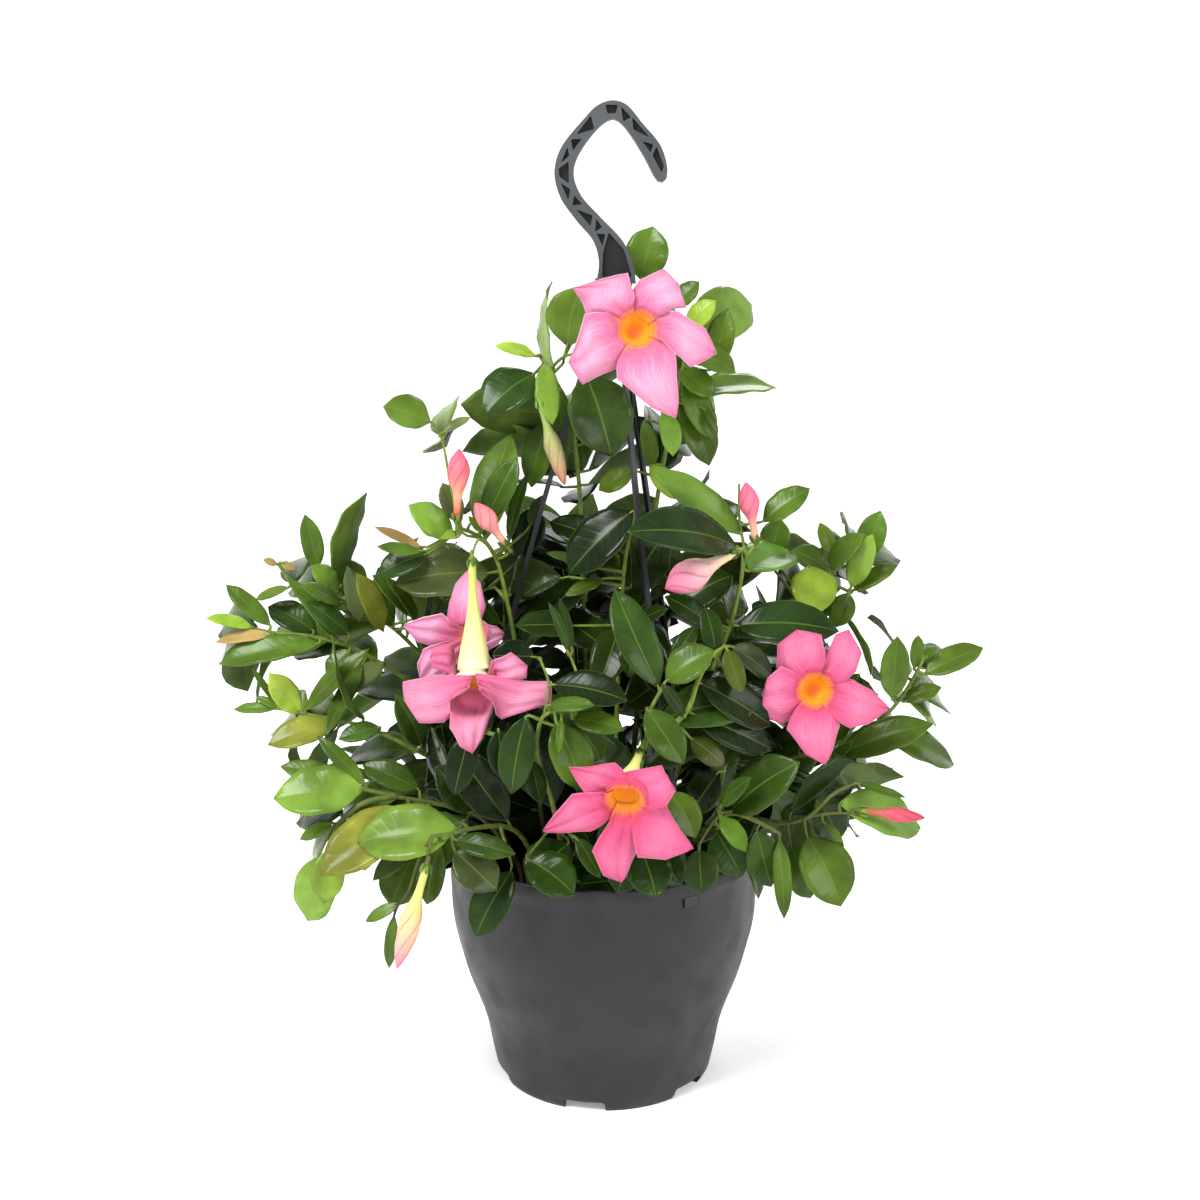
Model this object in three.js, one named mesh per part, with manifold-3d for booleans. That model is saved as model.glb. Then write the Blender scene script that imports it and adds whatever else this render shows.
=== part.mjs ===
// A flowering mandevilla in a hanging pot: pot, soil, clip-on hanger, vines, blooms and buds.
// Millimetres, +Z up. The origin is on the floor, under the pot's axis.

import * as THREE from "three";
import { mergeVertices } from "three/addons/utils/BufferGeometryUtils.js";
import Module from "manifold-3d";

const wasm = await Module();
wasm.setup();
const { Manifold, Mesh } = wasm;

const GAP = 0.3;
const HAIR = 0.15;
const TURN = Math.PI / 180;

// ---- driving dimensions: pot, soil and hanger ----

const POT = {
  sides: 32,
  height: 140,
  rim: 90,
  band: 8.5,
  foot: 61,
  footRing: 3.5,
  floor: 7,
  floorThickness: 2,
  // radius and height of the outside, from the foot ring up to the rim band
  outside: [[62.7, 3], [65.5, 16], [68.7, 33], [73.7, 48], [78.9, 62], [83.5, 79], [86.8, 94],
    [88.6, 131.5]],
  // radius and height of the inside, from under the rim down to the floor
  inside: [[86.8, 131.5], [85, 94], [77.2, 62], [64, 18]],
  notches: { count: 6, first: -10, width: 23, height: 6 },
  drains: { radius: 4, at: 46 },
};

const SOIL_TOP = 119;
const HOLE = { radius: 3.9, depth: 22, sides: 4 };
// the stems' levels where they stand upright in the soil
const SOIL_LEVELS = [-20, -6, 10];

const HANGER = {
  hub: { x: 5, radius: 10, bottom: 442, top: 453 },
  thickness: 8.5,
  pocketDepth: 3,
  // direction of each leg from the front, turning to the right, and how far it bows out of its line
  legs: [{ turn: -88, bow: 4 }, { turn: 31, bow: -5 }, { turn: 142, bow: 2 }],
  legSteps: 5,
  legWidth: 2.9,
  legDepth: 3.2,
  channel: 1,
  legFoot: { radius: 83, bottom: 122 },
  barb: { width: 8, bottom: 126.5, top: 132, reach: 92 },
};

// the hook's edge, x and height: down the left side, round the neck, up the inside and over the tip
const HOOK_LEFT = [[-4.3, 450], [-2.8, 461], [-5.6, 472], [-14.8, 483], [-23.3, 495], [-26.3, 507],
  [-23.3, 519], [-10.6, 534.7], [-3.5, 541.5], [4.3, 544], [11.4, 542], [19.9, 532.7], [29.9, 520.8],
  [33.4, 509.5], [33, 504.5], [31, 502.7], [28.4, 503.3]];
const HOOK_RIGHT = [[26.3, 506], [19.9, 517.7], [8.6, 533], [4.3, 534.9], [-2.1, 531.3], [-13.4, 517],
  [-16.2, 507.5], [-12.7, 496.5], [-2.8, 485.4], [10.4, 471.5], [15.7, 459], [17.1, 450]];
// the pockets that leave the hook a truss, each by its corners
const HOOK_POCKETS = [
  [[15.4, 534.2], [22.6, 526.2], [15.8, 529.4]],
  [[20.8, 522.8], [25.4, 521.4], [24.2, 518.2]],
  [[27.8, 519.2], [26.1, 515.8], [30, 508.7], [31, 511.2]],
  [[9.3, 539.9], [13.4, 535.6], [10.2, 533.9]],
  [[1.2, 541.2], [6.4, 541.2], [5.6, 537.8], [2.2, 537.8]],
  [[-7.4, 535.2], [-5.9, 529.8], [-13.4, 527.6]],
  [[-17, 523.9], [-12.5, 524.1], [-16.2, 519.4]],
  [[-19.6, 519.4], [-18.8, 516], [-22.3, 513]],
  [[-19.3, 511.8], [-23.5, 509], [-23.2, 505.8], [-19.2, 503]],
  [[-22.3, 501.3], [-18.3, 498.6], [-19.2, 494.4]],
  [[-15.6, 495], [-12.3, 491.4], [-16.4, 491]],
  [[-13.6, 487.6], [-6.8, 485.2], [-7.7, 480.8]],
  [[-4, 483], [-1.6, 479.4], [-4.6, 477.6]],
  [[-3.6, 475.6], [0.2, 475.4], [-1, 470.6]],
  [[3, 474], [0.6, 466], [0.2, 455.5], [12.9, 455.5], [9.4, 467]],
];

// ---- driving dimensions: plant ----

// Plant points are x, height and depth as they look from the eye in front of the pot:
// x and height are taken on the plane y = 0 and carried to their depth along the line from the eye.
const EYE = new THREE.Vector3(-2.2, -840, 440);

const STEM = { radius: 2, sides: 3, step: 32 };
const TWIG = { radius: 1, sides: 3, step: 18 };
const CUP = { length: 3.5, radius: 2.3, sides: 4 };
const BLADE = { thickness: 1.3, arch: 0.07, fold: 0.22, petiole: 0.85, stalk: 7 };
// for blades up to each width: how far along the blade each row lies, and its share of the full width
const BLADE_ROWS = [
  { upTo: 9.5, folded: false, rows: [[0.42, 1]] },
  { upTo: 15.5, folded: false, rows: [[0.28, 0.93], [0.7, 0.8]] },
  { upTo: Infinity, folded: true, rows: [[0.2, 0.8], [0.52, 1], [0.83, 0.5]] },
];
// a leaf that would touch a neighbour swings in depth (mm) and rolls (degrees), by one of these
const SWINGS = [[0, 0], [8, 8], [-8, -8], [16, 16], [-16, -16], [26, 0], [-26, 0], [36, 10], [-36, -10]];
const CLEARANCE = 0.35;
// no leaf's tip lies further back than this
const DEEPEST = 136.5;

// Each vine: where it stands in the soil, its paths, and its leaves.
// A leaf is tip x, height, depth; base x, height, depth; width.
const VINES = [
  {
    name: "vine_spire_left",
    root: [-10, 8],
    stems: [[[-9, 200, 8], [-12, 290, 10], [-14, 345, 12], [-20, 385, 10], [-30, 404, 3], [-35, 412, -2]]],
    twigs: [[[-30, 404, 3], [-20, 412, -10], [-6, 413, -13], [-3, 413.5, -14]]],
    leaves: [
      [-12.5, 449, -4, -20, 417, -4, 27],
      [-59, 417, -8, -37, 411.5, -3, 9],
      [-65, 380, -14, -38, 402, -3, 29],
      [-28, 375, -12, -32, 408, -6, 13],
      [4, 357, -24, -10, 402, -18, 35],
      [-40, 340, -2, -31, 377, 4, 17],
      [-19, 344, 16, -6, 372, 18, 16],
      [-22, 354, 4, -24, 394, 6, 14],
    ],
  },
  {
    name: "vine_spire_right",
    root: [12, 12],
    stems: [[[18, 200, 16], [24, 290, 14], [32, 350, 2], [41, 395, 0], [44, 418, 2], [38, 434, 8]],
      [[38, 434, 8], [30, 444, 15], [22, 450, 16]]],
    twigs: [],
    leaves: [
      [26, 480, 17, 20, 452, 16, 24],
      [51, 451, 7, 38, 438, 8, 13],
      [60, 441, -3, 45, 426, 0, 15],
      [67, 437, 2, 58, 404, 3, 16],
      [71.6, 402.5, -9, 44, 415, -3, 18],
      [60, 390, -4, 41, 404, 0, 17],
      [58, 352, 0, 42, 388, 2, 20],
      [38, 357, -9, 33, 383, -3, 12],
      [26, 350, 8, 22, 377, 8, 10],
      [60, 366, -6, 43, 398, -2, 16],
      [62.5, 370, -12, 55, 383, -8, 4],
      [44, 333, -12, 25, 352, -6, 14],
      [-3, 338.5, 10, 16, 349, 9, 15],
      [38, 312, -12, 36, 290, -10, 12],
    ],
  },
  {
    name: "vine_sprig",
    root: [-32, -22],
    stems: [[[-42, 200, -32], [-48, 240, -36], [-54, 275, -36], [-60, 300, -35], [-68, 312, -36],
      [-79, 317, -36]]],
    twigs: [[[-79, 317, -36], [-84, 338, -29], [-87, 357, -28], [-89, 367, -26], [-93, 374, -26]],
      [[-60, 300, -35], [-65, 308, -46], [-70, 311, -54], [-73, 303, -60]],
      [[-54, 275, -36], [-62, 284, -26], [-73, 277, -22], [-76, 270, -24]],
      [[-68, 312, -36], [-78, 314, -42], [-81, 319, -44]],
      [[-60, 300, -35], [-54, 302, -40], [-52, 306, -42]]],
    leaves: [
      [-120.5, 384.5, -30, -95, 376, -27, 22],
      [-73, 378.5, -20, -88, 370, -25, 6],
      [-47.5, 356.5, -32, -65, 322, -33, 17],
      [-89, 342.5, -24, -80, 320, -30, 12],
      [-108, 330, -46, -84, 313, -40, 18],
      [-104, 315, -56, -82, 312, -44, 13],
      [-127, 318, -30, -101, 306, -32, 6],
      [-126, 307, -40, -101, 304, -38, 8],
      [-126, 291, -34, -98, 303, -32, 18],
      [-117, 286, -34, -64, 292, -30, 33],
      [-42, 348, -16, -53, 309, -30, 7],
      [-33, 336, 6, -41, 318, 2, 8],
      [-38, 328, 9, -47, 300, 3, 18],
      [-75, 324, -40, -69, 315, -38, 4],
    ],
  },
  {
    name: "vine_long_left",
    root: [-45, 8],
    stems: [[[-72, 190, 18], [-100, 222, 8], [-125, 240, -6], [-143, 250, -14], [-165, 256, -18],
      [-185, 258, -18], [-203, 262, -16]],
    [[-150, 252, -16], [-160, 266, -16], [-172, 282, -12], [-181, 297, -8]]],
    twigs: [],
    leaves: [
      [-223, 266.5, -24, -197, 261, -18, 8],
      [-218.5, 252.5, -22, -186, 257, -20, 8],
      [-211, 285.5, -10, -187, 262, -16, 11],
      [-195, 277, -4, -176, 284, -10, 7],
      [-188, 273, 0, -163, 259, -8, 18],
      [-189.5, 299.5, -12, -182, 297, -9, 5],
      [-172, 294, -10, -180, 298, -9, 5],
      [-177, 290, -22, -152, 255, -19, 9],
      [-167, 276, -26, -143, 257, -16, 14],
      [-217.5, 240, -26, -160, 252, -21, 17],
      [-178, 240, -12, -143, 249, -12, 16],
      [-157, 233.5, -22, -143, 248, -18, 12],
      [-150, 222, -24, -124, 241, -9, 15],
      [-152, 208, -18, -136, 240, -12, 10],
    ],
  },
  {
    name: "vine_left_upper",
    root: [-40, 24],
    stems: [[[-66, 205, 32], [-98, 240, 18], [-120, 262, 6], [-138, 272, 0], [-150, 282, -2],
      [-159, 292, -2]]],
    twigs: [],
    leaves: [
      [-165.5, 325, -4, -160, 294, -2, 12],
      [-163, 296, -16, -148, 283, -8, 14],
      [-150, 297, 8, -132, 289, 6, 13],
      [-166, 288, -18, -147, 275, -10, 11],
      [-143, 296, -22, -137, 265, -10, 11],
      [-138, 292, -32, -124, 259, -14, 14],
      [-129, 291, -28, -106, 267, -12, 12],
      [-122, 290, -36, -104, 262, -14, 8],
      [-160, 277, -22, -140, 271, -6, 10],
      [-133, 283, -8, -118, 262, 2, 14],
    ],
  },
  {
    name: "vine_left_lower",
    root: [-50, -18],
    stems: [[[-76, 168, -26], [-108, 190, -36], [-138, 204, -40], [-170, 211, -38], [-184, 214, -36]]],
    twigs: [],
    leaves: [
      [-210, 213.5, -34, -186, 214, -36, 7],
      [-199, 238.5, -30, -184, 215, -35, 4],
      [-197, 221, -33, -183, 214, -36, 5],
      [-189, 234.5, -42, -173, 211, -38, 15],
      [-191.5, 192.5, -52, -153, 205, -42, 18],
      [-132, 249, -34, -169, 213, -38, 12],
      [-151, 196, -48, -127, 203, -42, 12],
      [-118, 222, -52, -104, 192, -40, 16],
    ],
  },
  {
    name: "vine_left_low",
    root: [-46, -34],
    stems: [[[-72, 150, -50], [-98, 158, -62], [-120, 162, -68], [-136, 166, -70]],
      [[-120, 162, -68], [-140, 157, -76], [-154, 143, -78], [-158, 130, -78]]],
    twigs: [],
    leaves: [
      [-189.5, 160.5, -76, -138, 166, -71, 29],
      [-185, 180, -60, -148, 172, -62, 13],
      [-163, 198, -56, -136, 168, -66, 9],
      [-164, 114, -100, -112, 154, -74, 29],
      [-175.5, 136, -74, -156, 146, -76, 8],
      [-172, 112, -74, -156, 144, -76, 13],
      [-172.5, 86, -70, -158, 127, -76, 25],
      [-162.5, 97, -90, -157, 131, -82, 18],
      [-124, 95, -76, -108, 130, -66, 25],
      [-134, 111, -88, -104, 136, -72, 12],
      [-138, 181, -50, -106, 166, -56, 16],
      [-104, 118, -58, -78, 150, -54, 24],
      [-96, 180, -62, -74, 154, -56, 22],
    ],
  },
  {
    name: "vine_left_trailing",
    root: [-34, -48],
    stems: [[[-52, 142, -72], [-74, 143, -92], [-90, 139, -100], [-99, 138, -102]]],
    twigs: [[[-99, 138, -102], [-101, 130, -104], [-102, 124, -105]],
      [[-99, 138, -102], [-107, 124, -100], [-114, 103, -99], [-120, 96, -99]]],
    leaves: [
      [-103, 96, -92, -95, 134, -97, 15],
      [-62, 105, -108, -86, 129, -101, 22],
      [-75, 76, -102, -53, 117, -94, 21],
      [-51, 127, -112, -86, 136, -103, 13],
      [-139, 85.5, -100, -119, 97, -99, 7],
      [-126, 56.5, -98, -122, 90, -99, 7],
      [-112, 143, -86, -82, 146, -88, 14],
    ],
  },
  {
    name: "vine_front_left",
    root: [-20, -52],
    stems: [[[-30, 160, -82], [-38, 190, -96], [-34, 210, -102], [-26, 213, -104], [-14, 214, -104]],
      [[-36, 180, -91], [-56, 196, -88], [-74, 202, -80]]],
    twigs: [[[-34, 210, -102], [-31, 228, -95], [-36, 243, -87]],
      [[-26, 213, -104], [-15, 230, -98], [-19, 245, -92]],
      [[-26, 148, -78], [-22, 142, -90], [-18, 138, -95]],
      [[-26, 148, -78], [-36, 136, -88], [-44, 126, -94]]],
    leaves: [
      [-62, 249, -58, -39, 244, -70, 17],
      [13.5, 218.5, -110, -29, 228, -98, 20],
      [-5, 216, -118, -32, 216, -107, 9],
      [11.5, 201.5, -114, -18, 208, -106, 13],
      [-12.5, 165, -116, -27, 206, -106, 21],
      [-1.5, 181, -110, -16, 206, -102, 17],
      [-25.5, 188, -120, -24, 209, -109, 4],
      [-53, 163, -108, -44, 210, -102, 18],
      [-56, 171, -96, -60, 202, -90, 14],
      [-36, 160.5, -92, -42, 184, -94, 11],
      [-86, 162, -88, -76, 200, -82, 16],
      [-2, 112.5, -106, -16, 137, -97, 10],
      [-17, 102, -108, -44, 124, -97, 23],
      [-44, 108, -94, -20, 134, -80, 24],
      [-8, 122, -84, -24, 152, -76, 22],
      [-31, 275.5, -92, -20, 246, -93, 5],
      [-25, 278, -86, -18, 248, -90, 5],
    ],
  },
  {
    name: "vine_front_centre",
    root: [8, -54],
    stems: [[[18, 165, -82], [24, 195, -92], [26, 212, -94], [32, 224, -90]],
      [[24, 195, -92], [40, 205, -92], [48, 214, -90], [53, 230, -84], [62, 246, -76], [68, 250, -74]]],
    twigs: [[[17, 160, -80], [20, 144, -93], [23, 132, -98]]],
    leaves: [
      [6, 283, -68, 31, 226, -88, 21],
      [62, 248, -90, 35, 230, -90, 20],
      [56.5, 273, -62, 63, 245, -72, 12],
      [78, 222.5, -86, 69, 249, -76, 11],
      [32.5, 228.5, -100, 46, 209, -93, 8],
      [45.5, 181, -110, 24, 214, -97, 18],
      [69, 180, -94, 49, 197, -90, 14],
      [95, 204, -74, 54, 229, -82, 24],
      [97, 187, -86, 50, 211, -88, 21],
      [50, 224, -68, 69, 234, -70, 12],
      [95, 233, -60, 72, 250, -70, 16],
      [52, 262, -66, 38, 240, -76, 10],
      [53, 137, -102, 37, 165, -94, 17],
      [30.5, 100.5, -114, 22, 129, -99, 23],
      [8, 103, -106, 18, 128, -97, 18],
      [45, 107, -104, 22, 136, -88, 22],
      [2, 132, -86, 14, 160, -78, 20],
    ],
  },
  {
    name: "vine_centre",
    root: [4, -20],
    stems: [[[7, 200, -32], [9, 260, -36], [12, 300, -38], [16, 322, -40]]],
    twigs: [],
    leaves: [
      [-20, 291, -44, 16, 327, -41, 28],
      [-32, 303.5, -30, -10, 296, -32, 6],
      [-22, 279, -50, 0, 289, -42, 8],
      [-45, 279, -26, -24, 290, -26, 10],
      [-30, 321, -12, 2, 308, -26, 19],
      [12, 318, -30, 15, 284, -34, 13],
      [36, 272, -54, 18, 262, -44, 10],
      [-3, 226, -62, 9, 262, -42, 20],
      [-50, 262, -52, -16, 262, -42, 17],
      [14, 232, -62, 22, 264, -46, 17],
    ],
  },
  {
    name: "vine_bud_stem",
    root: [30, -10],
    stems: [[[50, 205, -34], [62, 238, -44], [71, 262, -44], [76, 285, -42], [79, 301, -38],
      [83.5, 307, -37]]],
    twigs: [[[79, 301, -38], [75, 322, -33], [74.5, 342, -31]],
      [[76, 285, -42], [77, 300, -46], [76.5, 304, -47]]],
    leaves: [
      [12, 321, -50, 74, 307, -42, 28],
      [27, 350, -38, 76, 314, -35, 20],
      [113.5, 339.5, -36, 88, 321, -36, 16],
      [74, 268, -58, 82, 305, -44, 15],
      [133.5, 257, -62, 74, 262, -49, 25],
      [72, 291, -22, 42, 272, -26, 25],
      [34, 279, -40, 60, 262, -40, 15],
    ],
  },
  {
    name: "vine_right_upper",
    root: [28, 12],
    stems: [[[48, 200, 10], [74, 245, 6], [98, 270, 0], [116, 284, -8], [126, 286, -10], [138, 281, -12]],
      [[116, 284, -8], [126, 293, -8], [138, 297, -8], [143, 300, -8]]],
    twigs: [],
    leaves: [
      [153, 327, -8, 143, 299, -8, 16],
      [149, 314, -22, 138, 284, -15, 14],
      [163.5, 296.5, -17, 139, 282, -13, 11],
      [129, 261, -18, 137, 281, -14, 14],
      [143, 315, -14, 125, 295, -10, 16],
      [119.5, 320.5, 0, 127, 301, -6, 9],
      [104, 305, -4, 124, 294, -8, 16],
      [119, 268, -32, 114, 296, -14, 25],
      [115, 308, 8, 91, 301, 5, 20],
      [98, 322.5, 2, 93, 303, 4, 17],
    ],
  },
  {
    name: "vine_right",
    root: [44, 4],
    stems: [[[82, 170, -2], [112, 186, -10], [135, 187, -16], [152, 202, -17], [166, 217, -16],
      [176, 234, -13], [181, 245, -12]]],
    twigs: [],
    leaves: [
      [165, 256, -22, 163, 220, -20, 16],
      [178.5, 255, -8, 175, 237, -12, 8],
      [213.5, 249.5, -10, 181, 234, -14, 16],
      [191, 226.5, -18, 170, 218, -17, 11],
      [187, 205, -30, 134, 187, -21, 21],
      [141, 193, -28, 133, 186, -22, 6],
      [187, 250, -16, 181, 243, -13, 4],
    ],
  },
  {
    name: "vine_right_low",
    root: [45, -15],
    stems: [[[80, 148, -36], [104, 146, -50], [118, 150, -56], [132, 164, -58], [143, 170, -58]]],
    twigs: [[[118, 150, -56], [133, 152, -58], [147, 151.5, -60]]],
    leaves: [
      [138, 95, -76, 117, 138, -61, 29],
      [120, 100, -54, 108, 132, -54, 20],
      [137, 132, -50, 122, 160, -50, 24],
      [158, 174, -48, 135, 176, -54, 12],
      [137.5, 133.5, -68, 126, 147, -60, 5],
      [173, 161.5, -58, 145, 170, -58, 5],
    ],
  },
  {
    name: "vine_front_right",
    root: [40, -33],
    stems: [[[60, 145, -56], [68, 152, -75], [66, 153, -85]],
      [[64, 149, -66], [76, 152, -74], [90, 146, -76], [101, 140, -74]]],
    twigs: [[[67, 152, -76], [67, 166, -80], [69, 177, -82]],
      [[67, 152, -80], [60, 142, -89], [55, 133, -92]]],
    leaves: [
      [84, 173.5, -98, 67, 156, -87, 10],
      [82, 128.5, -102, 67, 150, -88, 11],
      [51, 132, -92, 66, 143, -84, 9],
      [112, 182.5, -94, 73, 153, -80, 27],
      [50, 152, -80, 66, 177, -83, 18],
      [77, 188.5, -82, 69, 179, -82, 8],
      [57, 103, -100, 55, 130, -91, 19],
      [97, 107, -74, 88, 142, -75, 20],
      [104, 91, -82, 101, 137, -75, 10],
      [81, 110, -86, 64, 142, -68, 22],
    ],
  },
  { name: "vine_inner_left", root: [-26, 18], stems: [[[-42, 190, 28], [-54, 230, 30], [-56, 268, 24]]],
    twigs: [], leaves: [] },
  { name: "vine_inner_right", root: [22, -24], stems: [[[36, 190, -24], [40, 232, -22], [52, 262, -10]]],
    twigs: [], leaves: [] },
  { name: "vine_back_left", root: [-30, 40], stems: [[[-58, 190, 66], [-86, 222, 80], [-108, 240, 82]],
    [[-58, 190, 66], [-70, 245, 58], [-72, 285, 52]]], twigs: [], leaves: [] },
  { name: "vine_back", root: [-4, 46], stems: [[[-10, 200, 84], [-16, 250, 88], [-10, 300, 70]],
    [[-10, 200, 84], [-24, 222, 104], [-26, 232, 112]]], twigs: [], leaves: [] },
  { name: "vine_back_right", root: [28, 38], stems: [[[46, 185, 70], [82, 222, 73], [104, 242, 72]],
    [[46, 185, 70], [62, 245, 60], [58, 285, 54]]], twigs: [], leaves: [] },
  { name: "vine_back_low_left", root: [-46, 42],
    stems: [[[-50, 156, 46], [-82, 176, 70], [-110, 162, 80], [-124, 142, 84]]],
    twigs: [], leaves: [] },
  { name: "vine_back_low_right", root: [48, 34],
    stems: [[[53, 152, 42], [84, 172, 68], [112, 164, 78], [128, 146, 80]]],
    twigs: [], leaves: [] },
];

// Leaves that fill a vine between the drawn ones: pairs that turn by a right angle from joint to joint.
const FILL = {
  seed: 20,
  spacing: { drawn: 30, bare: 16 },
  start: 0.2,
  length: [50, 66],
  slender: 0.48,
  stalk: 5,
  // degrees off the stem, and the most that a pair or a blade turns by chance
  spread: 62,
  turn: 40,
  roll: 15,
  droop: 0.3,
  facing: { out: 0.8, up: 0.6 },
  shape: BLADE_ROWS[0],
};

// Each bloom: its vine's calyx, its throat, the throat's radius, the way it faces, and five petals.
// A petal's edge runs from the throat along its left side, over its end and back: seven points.
// Its reach is how far the end comes towards the eye (negative) or leans back.
const BLOOMS = [
  {
    name: "bloom_top",
    vine: "vine_spire_left",
    calyx: [-1, 414, -15],
    throat: [18, 426, -44],
    radius: 9.8,
    facing: [0.05, -0.97, 0.2],
    petals: [
      { reach: 2, edge: [[14.5, 440], [19.5, 451.5], [32, 458], [39.6, 451], [44.3, 437.6], [35, 436.8],
        [28, 434]] },
      { reach: -3, edge: [[29, 433], [40, 434.8], [55, 426.5], [61, 413], [47, 405.7], [40, 412.5],
        [31, 421.5]] },
      { reach: -12, edge: [[34, 418.5], [38.5, 405], [41, 387], [39.5, 379], [26, 384], [8, 399.5],
        [11, 410]] },
      { reach: -8, edge: [[11, 412], [3, 404], [-11.4, 396], [-18.6, 408], [-14.5, 420], [-10, 433],
        [3, 431.5]] },
      { reach: 2, edge: [[5, 433], [-9.5, 434.5], [-12.5, 441], [-17, 447.5], [12.6, 455.7], [14.8, 446],
        [14, 438.5]] },
    ],
  },
  {
    name: "bloom_left_hanging",
    vine: "vine_sprig",
    calyx: [-73.5, 299, -62],
    throat: [-73.5, 241, -78],
    radius: 10.2,
    facing: [0, -0.3, -0.95],
    petals: [
      { reach: -8, edge: [[-80, 228, -7], [-91, 206], [-105, 205.5], [-113, 218], [-113.5, 229],
        [-98, 233], [-84, 241, 0]] },
      { reach: -14, edge: [[-66, 224, -9], [-64, 212, -4], [-69, 196], [-74.5, 188], [-82, 192],
        [-87, 203, -4], [-82, 224, -9]] },
      { reach: -8, edge: [[-64, 238, 0], [-46, 229.5], [-29.5, 230], [-30.5, 217], [-41, 213.5],
        [-57.5, 208.5], [-68, 224, -8]] },
      { reach: 8, edge: [[-66, 246, 9], [-59, 246, 6], [-52.5, 246.8], [-43.5, 238], [-44, 231],
        [-54, 230], [-64, 234, 2]] },
      { reach: 8, edge: [[-84, 234, 2], [-90, 236], [-97, 238], [-99, 243], [-96, 249], [-90, 251],
        [-82, 247, 9]] },
    ],
  },
  {
    name: "bloom_left_behind",
    vine: "vine_sprig",
    calyx: [-77, 266, -26],
    throat: [-75, 257, -48],
    radius: 8.6,
    facing: [-0.2, -0.95, 0.1],
    petals: [
      { reach: -2, edge: [[-86, 263], [-86.5, 275], [-83, 286], [-77, 292.5], [-69, 286], [-66.5, 274],
        [-72, 263]] },
      { reach: 2, edge: [[-71.5, 262], [-66, 262.5], [-60, 261.5], [-56, 257], [-60, 251], [-65, 248],
        [-72, 251]] },
      { reach: 4, edge: [[-72, 252], [-65, 245], [-59, 237], [-62, 229], [-69, 227], [-76, 236],
        [-79, 247]] },
      { reach: -2, edge: [[-80, 247], [-86, 238], [-94, 229.5], [-103.5, 230], [-105, 240], [-101, 248],
        [-88, 252]] },
      { reach: -6, edge: [[-88, 252], [-97, 250], [-105, 252], [-112, 261], [-101, 267], [-91, 268.5],
        [-86, 262]] },
    ],
  },
  {
    name: "bloom_right",
    vine: "vine_right_upper",
    calyx: [112, 220, -34],
    throat: [119.7, 224.5, -70],
    radius: 9.4,
    facing: [0.02, -0.98, 0.12],
    petals: [
      { reach: 2, edge: [[121, 236], [126, 247], [130, 257], [137.5, 259.5], [145.5, 246], [142, 236],
        [131, 229]] },
      { reach: -4, edge: [[130, 230], [141, 230], [152, 224.5], [162.5, 213.5], [150, 205], [140, 203],
        [129, 213]] },
      { reach: -12, edge: [[128, 213], [134, 204], [131, 190], [127.5, 181], [115, 187], [104.5, 202],
        [112, 215]] },
      { reach: -4, edge: [[111, 214], [101, 206], [88, 208.5], [90.5, 222], [93, 232], [100, 237.5],
        [111, 230]] },
      { reach: 2, edge: [[110, 231], [98, 238], [97.5, 251], [108, 259], [122, 257], [124, 247],
        [121, 236]] },
    ],
  },
  {
    name: "bloom_front",
    vine: "vine_front_centre",
    calyx: [21, 189, -104],
    throat: [12, 159.5, -126],
    radius: 9.8,
    facing: [-0.1, -0.85, -0.45],
    petals: [
      { reach: -4, edge: [[13, 173], [19, 177], [33, 180.3], [31.5, 169.5], [41, 166], [35.5, 156.5],
        [22, 157.5]] },
      { reach: 2, edge: [[23, 156.5], [36, 154.5], [45, 141], [52.5, 129.5], [36, 122.8], [20, 126],
        [17, 149]] },
      { reach: 6, edge: [[18, 148], [19, 127.5], [14, 115], [10.5, 107.7], [0, 114], [-6, 129],
        [6, 148]] },
      { reach: 2, edge: [[3, 150], [-8, 141], [-22, 139], [-35, 139.5], [-27.5, 152], [-18, 162.5],
        [1, 163]] },
      { reach: -4, edge: [[2, 164], [-11, 165.5], [-16.5, 172], [-20, 177.3], [-4, 179.5], [6, 181.5],
        [12, 173]] },
    ],
  },
];

// A bloom's funnel: the share of its length and the radius of each ring before its mouth.
const FUNNEL = {
  sides: 8,
  outside: [[0, 1.9], [0.45, 2.6], [0.75, 6]],
  wall: 1.9,
  inside: [0.78, 4.4],
  bottom: 0.6,
};

const PETAL = {
  // how far its sides lie ahead of and behind its middle, as blades of a fan
  twist: 1.6,
  // how far in and under the mouth its foot lies
  foot: { share: 0.9, under: 0.8 },
  above: 0.6,
  under: 0.8,
  // share of its width that it bows, and that each edge gives up beside the throat
  bow: 0.02,
  slim: 0.1,
};

// Each bud: its base, its tip, its greatest radius, and where along it that lies.
const BUDS = [
  { name: "bud_left_upright", vine: "vine_sprig",
    base: [-81.3, 322, -45], tip: [-79.5, 361.5, -42], radius: 5.7, fullest: 0.62 },
  { name: "bud_left_leaning", vine: "vine_sprig",
    base: [-54.5, 308, -43], tip: [-71.5, 331.5, -48], radius: 5.2, fullest: 0.55 },
  { name: "bud_right_fat", vine: "vine_bud_stem",
    base: [73.5, 304, -49], tip: [34, 283, -60], radius: 8.6, fullest: 0.6 },
  { name: "bud_right_upright", vine: "vine_bud_stem",
    base: [84.3, 310.5, -38], tip: [78, 343, -40], radius: 5.2, fullest: 0.6 },
  { name: "bud_hanging", vine: "vine_left_trailing",
    base: [-102.6, 120, -106], tip: [-121.5, 56, -108], radius: 5.4, fullest: 0.5 },
  { name: "bud_right_long", vine: "vine_right_low",
    base: [148, 153.5, -60.5], tip: [185, 149, -64], radius: 3.8, fullest: 0.5 },
  { name: "bud_faded", vine: "vine_spire_left",
    base: [-35.2, 387, -16], tip: [-21.5, 341, -20], radius: 4.6, fullest: 0.5 },
];

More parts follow.
